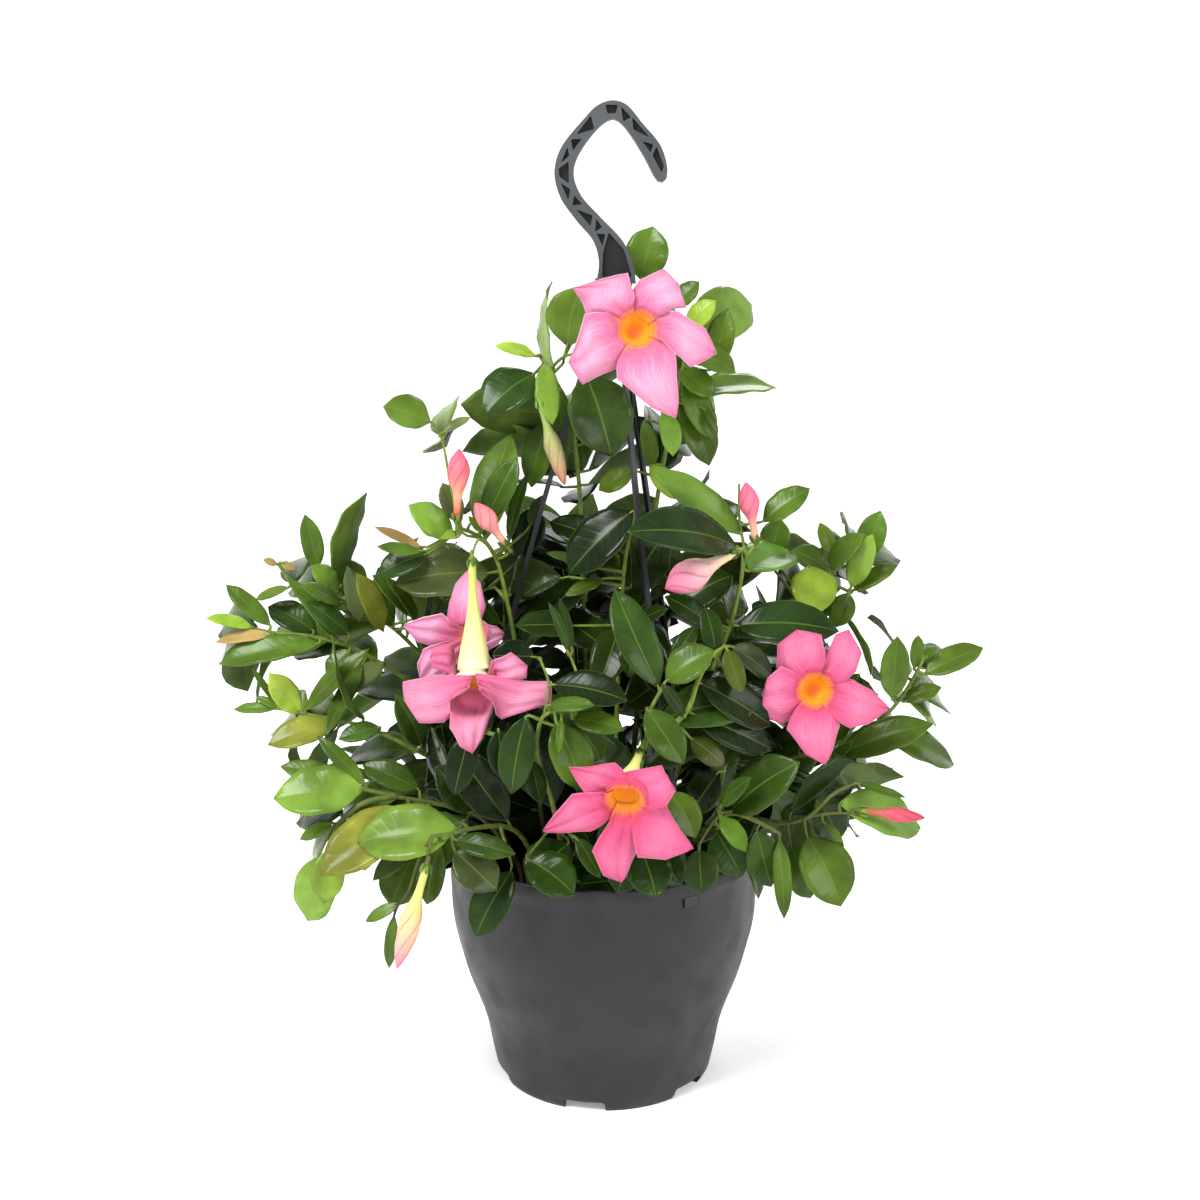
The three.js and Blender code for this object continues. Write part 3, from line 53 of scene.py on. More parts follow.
# Each vine: its root on the soil, its stems and twigs as points, and its leaves, each one as its tip, its
# base, its width, and its tone where that isn't the middle one. Rules place the rest.
vines = [
  {
    "name": "vine_spire_left",
    "root": (-10, 8),
    "stems": [[(-9, 200, 8), (-12, 290, 10), (-14, 345, 12), (-20, 385, 10), (-30, 404, 3), (-35, 412, -2)]],
    "twigs": [[(-30, 404, 3), (-20, 412, -10), (-6, 413, -13), (-3, 413.5, -14)]],
    "leaves": [
      (-12.5, 449, -4, -20, 417, -4, 27),
      (-59, 417, -8, -37, 411.5, -3, 9, "y"),
      (-65, 380, -14, -38, 402, -3, 29, "d"),
      (-28, 375, -12, -32, 408, -6, 13, "l"),
      (4, 357, -24, -10, 402, -18, 35, "d"),
      (-40, 340, -2, -31, 377, 4, 17),
      (-19, 344, 16, -6, 372, 18, 16),
      (-22, 354, 4, -24, 394, 6, 14),
    ],
  },
  {
    "name": "vine_spire_right",
    "root": (12, 12),
    "stems": [[(18, 200, 16), (24, 290, 14), (32, 350, 2), (41, 395, 0), (44, 418, 2), (38, 434, 8)],
      [(38, 434, 8), (30, 444, 15), (22, 450, 16)]],
    "twigs": [],
    "leaves": [
      (26, 480, 17, 20, 452, 16, 24),
      (51, 451, 7, 38, 438, 8, 13),
      (60, 441, -3, 45, 426, 0, 15, "y"),
      (67, 437, 2, 58, 404, 3, 16),
      (71.6, 402.5, -9, 44, 415, -3, 18),
      (60, 390, -4, 41, 404, 0, 17),
      (58, 352, 0, 42, 388, 2, 20),
      (38, 357, -9, 33, 383, -3, 12, "l"),
      (26, 350, 8, 22, 377, 8, 10, "l"),
      (60, 366, -6, 43, 398, -2, 16),
      (62.5, 370, -12, 55, 383, -8, 4),
      (44, 333, -12, 25, 352, -6, 14, "y"),
      (-3, 338.5, 10, 16, 349, 9, 15, "y"),
      (38, 312, -12, 36, 290, -10, 12),
    ],
  },
  {
    "name": "vine_sprig",
    "root": (-32, -22),
    "stems": [[(-42, 200, -32), (-48, 240, -36), (-54, 275, -36), (-60, 300, -35), (-68, 312, -36),
      (-79, 317, -36)]],
    "twigs": [[(-79, 317, -36), (-84, 338, -29), (-87, 357, -28), (-89, 367, -26), (-93, 374, -26)],
      [(-60, 300, -35), (-65, 308, -46), (-70, 311, -54), (-73, 303, -60)],
      [(-54, 275, -36), (-62, 284, -26), (-73, 277, -22), (-76, 270, -24)],
      [(-68, 312, -36), (-78, 314, -42), (-81, 319, -44)],
      [(-60, 300, -35), (-54, 302, -40), (-52, 306, -42)]],
    "leaves": [
      (-120.5, 384.5, -30, -95, 376, -27, 22),
      (-73, 378.5, -20, -88, 370, -25, 6, "g"),
      (-47.5, 356.5, -32, -65, 322, -33, 17),
      (-89, 342.5, -24, -80, 320, -30, 12, "g"),
      (-108, 330, -46, -84, 313, -40, 18, "l"),
      (-104, 315, -56, -82, 312, -44, 13, "y"),
      (-127, 318, -30, -101, 306, -32, 6, "b"),
      (-126, 307, -40, -101, 304, -38, 8),
      (-126, 291, -34, -98, 303, -32, 18, "d"),
      (-117, 286, -34, -64, 292, -30, 33, "g"),
      (-42, 348, -16, -53, 309, -30, 7),
      (-33, 336, 6, -41, 318, 2, 8, "g"),
      (-38, 328, 9, -47, 300, 3, 18, "d"),
      (-75, 324, -40, -69, 315, -38, 4, "y"),
    ],
  },
  {
    "name": "vine_long_left",
    "root": (-45, 8),
    "stems": [[(-72, 190, 18), (-100, 222, 8), (-125, 240, -6), (-143, 250, -14), (-165, 256, -18),
      (-185, 258, -18), (-203, 262, -16)],
    [(-150, 252, -16), (-160, 266, -16), (-172, 282, -12), (-181, 297, -8)]],
    "twigs": [],
    "leaves": [
      (-223, 266.5, -24, -197, 261, -18, 8, "y"),
      (-218.5, 252.5, -22, -186, 257, -20, 8, "b"),
      (-211, 285.5, -10, -187, 262, -16, 11),
      (-195, 277, -4, -176, 284, -10, 7),
      (-188, 273, 0, -163, 259, -8, 18, "d"),
      (-189.5, 299.5, -12, -182, 297, -9, 5, "b"),
      (-172, 294, -10, -180, 298, -9, 5, "b"),
      (-177, 290, -22, -152, 255, -19, 9),
      (-167, 276, -26, -143, 257, -16, 14, "d"),
      (-217.5, 240, -26, -160, 252, -21, 17),
      (-178, 240, -12, -143, 249, -12, 16, "d"),
      (-157, 233.5, -22, -143, 248, -18, 12),
      (-150, 222, -24, -124, 241, -9, 15, "g"),
      (-152, 208, -18, -136, 240, -12, 10),
    ],
  },
  {
    "name": "vine_left_upper",
    "root": (-40, 24),
    "stems": [[(-66, 205, 32), (-98, 240, 18), (-120, 262, 6), (-138, 272, 0), (-150, 282, -2),
      (-159, 292, -2)]],
    "twigs": [],
    "leaves": [
      (-165.5, 325, -4, -160, 294, -2, 12),
      (-163, 296, -16, -148, 283, -8, 14, "l"),
      (-150, 297, 8, -132, 289, 6, 13),
      (-166, 288, -18, -147, 275, -10, 11),
      (-143, 296, -22, -137, 265, -10, 11, "g"),
      (-138, 292, -32, -124, 259, -14, 14, "o"),
      (-129, 291, -28, -106, 267, -12, 12),
      (-122, 290, -36, -104, 262, -14, 8),
      (-160, 277, -22, -140, 271, -6, 10),
      (-133, 283, -8, -118, 262, 2, 14),
    ],
  },
  {
    "name": "vine_left_lower",
    "root": (-50, -18),
    "stems": [[(-76, 168, -26), (-108, 190, -36), (-138, 204, -40), (-170, 211, -38), (-184, 214, -36)]],
    "twigs": [],
    "leaves": [
      (-210, 213.5, -34, -186, 214, -36, 7),
      (-199, 238.5, -30, -184, 215, -35, 4),
      (-197, 221, -33, -183, 214, -36, 5),
      (-189, 234.5, -42, -173, 211, -38, 15, "y"),
      (-191.5, 192.5, -52, -153, 205, -42, 18, "o"),
      (-132, 249, -34, -169, 213, -38, 12),
      (-151, 196, -48, -127, 203, -42, 12),
      (-118, 222, -52, -104, 192, -40, 16),
    ],
  },
  {
    "name": "vine_left_low",
    "root": (-46, -34),
    "stems": [[(-72, 150, -50), (-98, 158, -62), (-120, 162, -68), (-136, 166, -70)],
      [(-120, 162, -68), (-140, 157, -76), (-154, 143, -78), (-158, 130, -78)]],
    "twigs": [],
    "leaves": [
      (-189.5, 160.5, -76, -138, 166, -71, 29, "l"),
      (-185, 180, -60, -148, 172, -62, 13),
      (-163, 198, -56, -136, 168, -66, 9),
      (-164, 114, -100, -112, 154, -74, 29, "o"),
      (-175.5, 136, -74, -156, 146, -76, 8),
      (-172, 112, -74, -156, 144, -76, 13),
      (-172.5, 86, -70, -158, 127, -76, 25, "l"),
      (-162.5, 97, -90, -157, 131, -82, 18, "l"),
      (-124, 95, -76, -108, 130, -66, 25),
      (-134, 111, -88, -104, 136, -72, 12, "g"),
      (-138, 181, -50, -106, 166, -56, 16),
      (-104, 118, -58, -78, 150, -54, 24),
      (-96, 180, -62, -74, 154, -56, 22),
    ],
  },
  {
    "name": "vine_left_trailing",
    "root": (-34, -48),
    "stems": [[(-52, 142, -72), (-74, 143, -92), (-90, 139, -100), (-99, 138, -102)]],
    "twigs": [[(-99, 138, -102), (-101, 130, -104), (-102, 124, -105)],
      [(-99, 138, -102), (-107, 124, -100), (-114, 103, -99), (-120, 96, -99)]],
    "leaves": [
      (-103, 96, -92, -95, 134, -97, 15),
      (-62, 105, -108, -86, 129, -101, 22, "g"),
      (-75, 76, -102, -53, 117, -94, 21, "d"),
      (-51, 127, -112, -86, 136, -103, 13),
      (-139, 85.5, -100, -119, 97, -99, 7),
      (-126, 56.5, -98, -122, 90, -99, 7),
      (-112, 143, -86, -82, 146, -88, 14),
    ],
  },
  {
    "name": "vine_front_left",
    "root": (-20, -52),
    "stems": [[(-30, 160, -82), (-38, 190, -96), (-34, 210, -102), (-26, 213, -104), (-14, 214, -104)],
      [(-36, 180, -91), (-56, 196, -88), (-74, 202, -80)]],
    "twigs": [[(-34, 210, -102), (-31, 228, -95), (-36, 243, -87)],
      [(-26, 213, -104), (-15, 230, -98), (-19, 245, -92)],
      [(-26, 148, -78), (-22, 142, -90), (-18, 138, -95)],
      [(-26, 148, -78), (-36, 136, -88), (-44, 126, -94)]],
    "leaves": [
      (-62, 249, -58, -39, 244, -70, 17, "d"),
      (13.5, 218.5, -110, -29, 228, -98, 20, "d"),
      (-5, 216, -118, -32, 216, -107, 9, "y"),
      (11.5, 201.5, -114, -18, 208, -106, 13, "y"),
      (-12.5, 165, -116, -27, 206, -106, 21, "y"),
      (-1.5, 181, -110, -16, 206, -102, 17, "y"),
      (-25.5, 188, -120, -24, 209, -109, 4, "y"),
      (-53, 163, -108, -44, 210, -102, 18),
      (-56, 171, -96, -60, 202, -90, 14, "d"),
      (-36, 160.5, -92, -42, 184, -94, 11),
      (-86, 162, -88, -76, 200, -82, 16, "d"),
      (-2, 112.5, -106, -16, 137, -97, 10, "l"),
      (-17, 102, -108, -44, 124, -97, 23),
      (-44, 108, -94, -20, 134, -80, 24),
      (-8, 122, -84, -24, 152, -76, 22),
      (-31, 275.5, -92, -20, 246, -93, 5),
      (-25, 278, -86, -18, 248, -90, 5),
    ],
  },
  {
    "name": "vine_front_centre",
    "root": (8, -54),
    "stems": [[(18, 165, -82), (24, 195, -92), (26, 212, -94), (32, 224, -90)],
      [(24, 195, -92), (40, 205, -92), (48, 214, -90), (53, 230, -84), (62, 246, -76), (68, 250, -74)]],
    "twigs": [[(17, 160, -80), (20, 144, -93), (23, 132, -98)]],
    "leaves": [
      (6, 283, -68, 31, 226, -88, 21, "l"),
      (62, 248, -90, 35, 230, -90, 20, "y"),
      (56.5, 273, -62, 63, 245, -72, 12),
      (78, 222.5, -86, 69, 249, -76, 11, "o"),
      (32.5, 228.5, -100, 46, 209, -93, 8),
      (45.5, 181, -110, 24, 214, -97, 18, "y"),
      (69, 180, -94, 49, 197, -90, 14, "o"),
      (95, 204, -74, 54, 229, -82, 24, "d"),
      (97, 187, -86, 50, 211, -88, 21, "d"),
      (50, 224, -68, 69, 234, -70, 12, "g"),
      (95, 233, -60, 72, 250, -70, 16, "g"),
      (52, 262, -66, 38, 240, -76, 10),
      (53, 137, -102, 37, 165, -94, 17, "y"),
      (30.5, 100.5, -114, 22, 129, -99, 23),
      (8, 103, -106, 18, 128, -97, 18),
      (45, 107, -104, 22, 136, -88, 22),
      (2, 132, -86, 14, 160, -78, 20),
    ],
  },
  {
    "name": "vine_centre",
    "root": (4, -20),
    "stems": [[(7, 200, -32), (9, 260, -36), (12, 300, -38), (16, 322, -40)]],
    "twigs": [],
    "leaves": [
      (-20, 291, -44, 16, 327, -41, 28, "d"),
      (-32, 303.5, -30, -10, 296, -32, 6, "l"),
      (-22, 279, -50, 0, 289, -42, 8, "y"),
      (-45, 279, -26, -24, 290, -26, 10, "g"),
      (-30, 321, -12, 2, 308, -26, 19, "d"),
      (12, 318, -30, 15, 284, -34, 13),
      (36, 272, -54, 18, 262, -44, 10),
      (-3, 226, -62, 9, 262, -42, 20),
      (-50, 262, -52, -16, 262, -42, 17),
      (14, 232, -62, 22, 264, -46, 17),
    ],
  },
  {
    "name": "vine_bud_stem",
    "root": (30, -10),
    "stems": [[(50, 205, -34), (62, 238, -44), (71, 262, -44), (76, 285, -42), (79, 301, -38),
      (83.5, 307, -37)]],
    "twigs": [[(79, 301, -38), (75, 322, -33), (74.5, 342, -31)],
      [(76, 285, -42), (77, 300, -46), (76.5, 304, -47)]],
    "leaves": [
      (12, 321, -50, 74, 307, -42, 28, "d"),
      (27, 350, -38, 76, 314, -35, 20, "l"),
      (113.5, 339.5, -36, 88, 321, -36, 16),
      (74, 268, -58, 82, 305, -44, 15, "d"),
      (133.5, 257, -62, 74, 262, -49, 25, "d"),
      (72, 291, -22, 42, 272, -26, 25),
      (34, 279, -40, 60, 262, -40, 15),
    ],
  },
  {
    "name": "vine_right_upper",
    "root": (28, 12),
    "stems": [[(48, 200, 10), (74, 245, 6), (98, 270, 0), (116, 284, -8), (126, 286, -10), (138, 281, -12)],
      [(116, 284, -8), (126, 293, -8), (138, 297, -8), (143, 300, -8)]],
    "twigs": [],
    "leaves": [
      (153, 327, -8, 143, 299, -8, 16),
      (149, 314, -22, 138, 284, -15, 14, "l"),
      (163.5, 296.5, -17, 139, 282, -13, 11),
      (129, 261, -18, 137, 281, -14, 14),
      (143, 315, -14, 125, 295, -10, 16),
      (119.5, 320.5, 0, 127, 301, -6, 9),
      (104, 305, -4, 124, 294, -8, 16),
      (119, 268, -32, 114, 296, -14, 25, "y"),
      (115, 308, 8, 91, 301, 5, 20, "g"),
      (98, 322.5, 2, 93, 303, 4, 17),
    ],
  },
  {
    "name": "vine_right",
    "root": (44, 4),
    "stems": [[(82, 170, -2), (112, 186, -10), (135, 187, -16), (152, 202, -17), (166, 217, -16),
      (176, 234, -13), (181, 245, -12)]],
    "twigs": [],
    "leaves": [
      (165, 256, -22, 163, 220, -20, 16),
      (178.5, 255, -8, 175, 237, -12, 8),
      (213.5, 249.5, -10, 181, 234, -14, 16),
      (191, 226.5, -18, 170, 218, -17, 11),
      (187, 205, -30, 134, 187, -21, 21),
      (141, 193, -28, 133, 186, -22, 6),
      (187, 250, -16, 181, 243, -13, 4),
    ],
  },
  {
    "name": "vine_right_low",
    "root": (45, -15),
    "stems": [[(80, 148, -36), (104, 146, -50), (118, 150, -56), (132, 164, -58), (143, 170, -58)]],
    "twigs": [[(118, 150, -56), (133, 152, -58), (147, 151.5, -60)]],
    "leaves": [
      (138, 95, -76, 117, 138, -61, 29),
      (120, 100, -54, 108, 132, -54, 20),
      (137, 132, -50, 122, 160, -50, 24, "d"),
      (158, 174, -48, 135, 176, -54, 12, "g"),
      (137.5, 133.5, -68, 126, 147, -60, 5),
      (173, 161.5, -58, 145, 170, -58, 5),
    ],
  },
  {
    "name": "vine_front_right",
    "root": (40, -33),
    "stems": [[(60, 145, -56), (68, 152, -75), (66, 153, -85)],
      [(64, 149, -66), (76, 152, -74), (90, 146, -76), (101, 140, -74)]],
    "twigs": [[(67, 152, -76), (67, 166, -80), (69, 177, -82)],
      [(67, 152, -80), (60, 142, -89), (55, 133, -92)]],
    "leaves": [
      (84, 173.5, -98, 67, 156, -87, 10, "l"),
      (82, 128.5, -102, 67, 150, -88, 11, "y"),
      (51, 132, -92, 66, 143, -84, 9, "o"),
      (112, 182.5, -94, 73, 153, -80, 27),
      (50, 152, -80, 66, 177, -83, 18, "d"),
      (77, 188.5, -82, 69, 179, -82, 8),
      (57, 103, -100, 55, 130, -91, 19),
      (97, 107, -74, 88, 142, -75, 20),
      (104, 91, -82, 101, 137, -75, 10),
      (81, 110, -86, 64, 142, -68, 22),
    ],
  },
  { "name": "vine_inner_left", "root": (-26, 18),
    "stems": [[(-42, 190, 28), (-54, 230, 30), (-56, 268, 24)]], "twigs": [], "leaves": [] },
  { "name": "vine_inner_right", "root": (22, -24),
    "stems": [[(36, 190, -24), (40, 232, -22), (52, 262, -10)]], "twigs": [], "leaves": [] },
  { "name": "vine_back_left", "root": (-30, 40), "stems": [[(-58, 190, 66), (-86, 222, 80), (-108, 240, 82)],
    [(-58, 190, 66), (-70, 245, 58), (-72, 285, 52)]], "twigs": [], "leaves": [] },
  { "name": "vine_back", "root": (-4, 46), "stems": [[(-10, 200, 84), (-16, 250, 88), (-10, 300, 70)],
    [(-10, 200, 84), (-24, 222, 104), (-26, 232, 112)]], "twigs": [], "leaves": [] },
  { "name": "vine_back_right", "root": (28, 38), "stems": [[(46, 185, 70), (82, 222, 73), (104, 242, 72)],
    [(46, 185, 70), (62, 245, 60), (58, 285, 54)]], "twigs": [], "leaves": [] },
  { "name": "vine_back_low_left", "root": (-46, 42),
    "stems": [[(-50, 156, 46), (-82, 176, 70), (-110, 162, 80), (-124, 142, 84)]],
    "twigs": [], "leaves": [] },
  { "name": "vine_back_low_right", "root": (48, 34),
    "stems": [[(53, 152, 42), (84, 172, 68), (112, 164, 78), (128, 146, 80)]],
    "twigs": [], "leaves": [] },
]

# Each bloom: its vine, where its funnel starts and ends, how wide the mouth is and where it faces, and its
# petals. A petal is an outline from the mouth over its tip and back, and how much deeper the tip lies. A
# third number is a point's own depth beside that.
blooms = [
  {
    "name": "bloom_top",
    "vine": "vine_spire_left",
    "calyx": (-1, 414, -15),
    "throat": (18, 426, -44),
    "radius": 9.8,
    "facing": (0.05, -0.97, 0.2),
    "petals": [
      { "reach": 2, "edge": [(14.5, 440), (19.5, 451.5), (32, 458), (39.6, 451), (44.3, 437.6), (35, 436.8),
        (28, 434)] },
      { "reach": -3, "edge": [(29, 433), (40, 434.8), (55, 426.5), (61, 413), (47, 405.7), (40, 412.5),
        (31, 421.5)] },
      { "reach": -12, "edge": [(34, 418.5), (38.5, 405), (41, 387), (39.5, 379), (26, 384), (8, 399.5),
        (11, 410)] },
      { "reach": -8, "edge": [(11, 412), (3, 404), (-11.4, 396), (-18.6, 408), (-14.5, 420), (-10, 433),
        (3, 431.5)] },
      { "reach": 2, "edge": [(5, 433), (-9.5, 434.5), (-12.5, 441), (-17, 447.5), (12.6, 455.7), (14.8, 446),
        (14, 438.5)] },
    ],
  },
  {
    "name": "bloom_left_hanging",
    "vine": "vine_sprig",
    "calyx": (-73.5, 299, -62),
    "throat": (-73.5, 229, -78),
    "radius": 9.6,
    "facing": (0, -0.56, -0.83),
    "petals": [
      { "reach": -8, "edge": [(-75.5, 223, -10), (-91, 206), (-105, 205.5), (-113, 218), (-113.5, 229),
        (-98, 233), (-74.5, 232, -9)] },
      { "reach": -15, "edge": [(-66, 224, 2), (-64, 212, 0), (-69, 196), (-74.5, 188), (-82, 192),
        (-87, 203, 0), (-82, 224, 2)] },
      { "reach": -8, "edge": [(-72.5, 232, -9), (-46, 229.5), (-29.5, 230), (-30.5, 217), (-41, 213.5),
        (-57.5, 208.5), (-71.5, 223, -10)] },
      { "reach": -2, "edge": [(-66, 238, 0), (-59, 243, -3), (-52.5, 246.8), (-43.5, 238), (-44, 231),
        (-54, 230), (-64, 234, 2)] },
      { "reach": 8, "edge": [(-84, 234, 2), (-90, 236), (-97, 238), (-99, 243), (-96, 249), (-90, 251),
        (-82, 247, 9)] },
    ],
  },
  {
    "name": "bloom_left_behind",
    "vine": "vine_sprig",
    "calyx": (-77, 266, -26),
    "throat": (-72.5, 257, -48),
    "radius": 6.6,
    "facing": (-0.2, -0.95, 0.1),
    "petals": [
      { "reach": -2, "edge": [(-86, 263), (-86.5, 275), (-83, 286), (-77, 292.5), (-69, 286), (-66.5, 274),
        (-72, 263)] },
      { "reach": 2, "edge": [(-71.5, 262), (-66, 262.5), (-60, 261.5), (-56, 257), (-60, 251), (-65, 248),
        (-72, 251)] },
      { "reach": 4, "edge": [(-72, 252), (-65, 245), (-59, 237), (-62, 229), (-69, 227), (-76, 236),
        (-79, 247)] },
      { "reach": -2, "edge": [(-80, 247), (-86, 238), (-94, 229.5), (-103.5, 230), (-105, 240), (-101, 248),
        (-88, 252)] },
      { "reach": -6, "edge": [(-88, 252), (-97, 250), (-105, 252), (-112, 261), (-101, 267), (-91, 268.5),
        (-86, 262)] },
    ],
  },
  {
    "name": "bloom_right",
    "vine": "vine_right_upper",
    "calyx": (112, 220, -34),
    "throat": (119.7, 224.5, -70),
    "radius": 9.4,
    "facing": (0.02, -0.98, 0.12),
    "petals": [
      { "reach": 2, "edge": [(121, 236), (126, 247), (130, 257), (137.5, 259.5), (145.5, 246), (142, 236),
        (131, 229)] },
      { "reach": -4, "edge": [(130, 230), (141, 230), (152, 224.5), (162.5, 213.5), (150, 205), (140, 203),
        (129, 213)] },
      { "reach": -12, "edge": [(128, 213), (134, 204), (131, 190), (127.5, 181), (115, 187), (104.5, 202),
        (112, 215)] },
      { "reach": -4, "edge": [(111, 214), (101, 206), (88, 208.5), (90.5, 222), (93, 232), (100, 237.5),
        (111, 230)] },
      { "reach": 2, "edge": [(110, 231), (98, 238), (97.5, 251), (108, 259), (122, 257), (124, 247),
        (121, 236)] },
    ],
  },
  {
    "name": "bloom_front",
    "vine": "vine_front_centre",
    "calyx": (21, 189, -104),
    "throat": (12, 159.5, -126),
    "radius": 9.8,
    "facing": (-0.1, -0.85, -0.45),
    "petals": [
      { "reach": -4, "edge": [(13, 173), (19, 177), (33, 180.3), (31.5, 169.5), (41, 166), (35.5, 156.5),
        (22, 157.5)] },
      { "reach": 2, "edge": [(23, 156.5), (36, 154.5), (45, 141), (52.5, 129.5), (36, 122.8), (20, 126),
        (17, 149)] },
      { "reach": 6, "edge": [(18, 148), (19, 127.5), (14, 115), (10.5, 107.7), (0, 114), (-6, 129),
        (6, 148)] },
      { "reach": 2, "edge": [(3, 150), (-8, 141), (-22, 139), (-35, 139.5), (-27.5, 152), (-18, 162.5),
        (1, 163)] },
      { "reach": -4, "edge": [(2, 164), (-11, 165.5), (-16.5, 172), (-20, 177.3), (-4, 179.5), (6, 181.5),
        (12, 173)] },
    ],
  },
]

# Each bud: its vine, its two ends, its radius, and how far along it is fullest.
buds = [
  { "name": "bud_left_upright", "vine": "vine_sprig",
    "base": (-81.3, 322, -45), "tip": (-79.5, 361.5, -42), "radius": 5.7, "fullest": 0.62 },
  { "name": "bud_left_leaning", "vine": "vine_sprig",
    "base": (-54.5, 308, -43), "tip": (-71.5, 331.5, -48), "radius": 5.2, "fullest": 0.55 },
  { "name": "bud_right_fat", "vine": "vine_bud_stem",
    "base": (73.5, 304, -49), "tip": (34, 283, -60), "radius": 8.6, "fullest": 0.6 },
  { "name": "bud_right_upright", "vine": "vine_bud_stem",
    "base": (84.3, 310.5, -38), "tip": (78, 343, -40), "radius": 5.2, "fullest": 0.6 },
  { "name": "bud_hanging", "vine": "vine_left_trailing",
    "base": (-102.6, 120, -106), "tip": (-121.5, 56, -108), "radius": 5.4, "fullest": 0.5 },
  { "name": "bud_right_long", "vine": "vine_right_low",
    "base": (148, 153.5, -60.5), "tip": (185, 149, -64), "radius": 3.8, "fullest": 0.5 },
  { "name": "bud_faded", "vine": "vine_spire_left",
    "base": (-35.2, 387, -16), "tip": (-21.5, 341, -20), "radius": 4.6, "fullest": 0.5 },
]


def unit(v):
    return v / np.linalg.norm(v)


def squared(v, axis):
    # the part of v that is square to a unit axis
    return v - axis * np.dot(v, axis)


def acrossOf(axis):
    # one of the directions square to an axis
    return unit(np.cross(up if abs(axis[2]) < 0.9 else np.array((1.0, 0, 0)), axis))


def turned(v, axis, angle):
    # v turned about a unit axis
    c = math.cos(angle)
    s = math.sin(angle)
    return v * c + np.cross(axis, v) * s + axis * np.dot(axis, v) * (1 - c)


def smoothStep(low, high, value):
    t = min(1, max(0, (value - low) / (high - low)))
    return t * t * (3 - 2 * t)


def seen(point):
    # from the drawing to millimetres in the part's own frame
    x, height, depth = point
    reach = (depth - eye[1]) / -eye[1]
    return np.array((eye[0] + (x - eye[0]) * reach, depth, eye[2] + (height - eye[2]) * reach))


class SmoothPath:
    # a centripetal Catmull-Rom line, measured in many small steps
    steps = 200

    def __init__(self, points):
        self.points = [np.array(p, float) for p in points]
        self.marks = [0.0]
        last = self.at(0)
        for k in range(1, self.steps + 1):
            here = self.at(k / self.steps)
            self.marks.append(self.marks[-1] + np.linalg.norm(here - last))
            last = here
        self.length = self.marks[-1]

    def at(self, t):
        last = len(self.points) - 1
        k = min(int(last * t), last - 1)
        w = last * t - k
        p1, p2 = self.points[k], self.points[k + 1]
        p0 = self.points[k - 1] if k > 0 else 2 * p1 - p2
        p3 = self.points[k + 2] if k + 2 <= last else 2 * p2 - p1
        d0, d1, d2 = [np.linalg.norm(b - a) ** 0.5 for a, b in ((p0, p1), (p1, p2), (p2, p3))]
        m1 = ((p1 - p0) / d0 - (p2 - p0) / (d0 + d1) + (p2 - p1) / d1) * d1
        m2 = ((p2 - p1) / d1 - (p3 - p1) / (d1 + d2) + (p3 - p2) / d2) * d1
        return p1 + m1 * w + (3 * (p2 - p1) - 2 * m1 - m2) * w**2 + (2 * (p1 - p2) + m1 + m2) * w**3

    def timeOf(self, share):
        target = share * self.length
        k = min(bisect.bisect_right(self.marks, target) - 1, self.steps - 1)
        return (k + (target - self.marks[k]) / (self.marks[k + 1] - self.marks[k])) / self.steps

    def point(self, share):
        return self.at(min(1.0, self.timeOf(share)))

    def heading(self, share):
        t = self.timeOf(share)
        return unit(self.at(min(1, t + 0.0001)) - self.at(max(0, t - 0.0001)))

    def spaced(self, step):
        count = math.ceil(self.length / step)
        return [self.point(k / count) for k in range(count + 1)]


def nearestOn(lines, point):
    best = None
    for line in lines:
        for a, b in zip(line, line[1:]):
            share = np.dot(point - a, b - a) / np.dot(b - a, b - a)
            spot = a + (b - a) * min(1, max(0, share))
            gap = np.linalg.norm(spot - point)
            if best is None or gap < best[0]:
                best = (gap, spot)
    return best[1]


def straightAt(points, t):
    last = len(points) - 1
    k = min(int(last * t), last - 1)
    return points[k] + (points[k + 1] - points[k]) * (last * t - k)


def repeatable(seed):
    # the same run of draws that placed the leaves of the solids
    state = seed
    while True:
        state = state * 16807 % 2147483647
        yield state / 2147483647


def meshPiece(name, bm, materials, smooth=True):
    bm.transform(Matrix.Scale(mm, 4))
    mesh = bpy.data.meshes.new(name)
    bm.to_mesh(mesh)
    bm.free()
    for material in materials:
        mesh.materials.append(material)
    if smooth:
        mesh.shade_smooth()
    piece = bpy.data.objects.new(name, mesh)
    scene.collection.objects.link(piece)
    return piece


def settle(piece, nodes):
    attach(piece, "root")
    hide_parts(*nodes)


def evaluated(piece):
    graph = bpy.context.evaluated_depsgraph_get()
    graph.update()
    return bpy.data.meshes.new_from_object(piece.evaluated_get(graph))


def applyModifiers(piece):
    mesh = evaluated(piece)
    piece.modifiers.clear()
    piece.data = mesh


def roundLines(lines, resolution):
    # tubes along lines of (point, radius), as one mesh
    data = bpy.data.curves.new("tubes", "CURVE")
    data.dimensions = "3D"
    data.bevel_depth = 1
    data.bevel_resolution = resolution
    data.use_fill_caps = True
    for line in lines:
        spline = data.splines.new("POLY")
        spline.points.add(len(line) - 1)
        for spot, (point, radius) in zip(spline.points, line):
            spot.co = (*point, 1)
            spot.radius = radius
    tubes = bpy.data.objects.new("tubes", data)
    scene.collection.objects.link(tubes)
    mesh = evaluated(tubes)
    bpy.data.objects.remove(tubes)
    return mesh


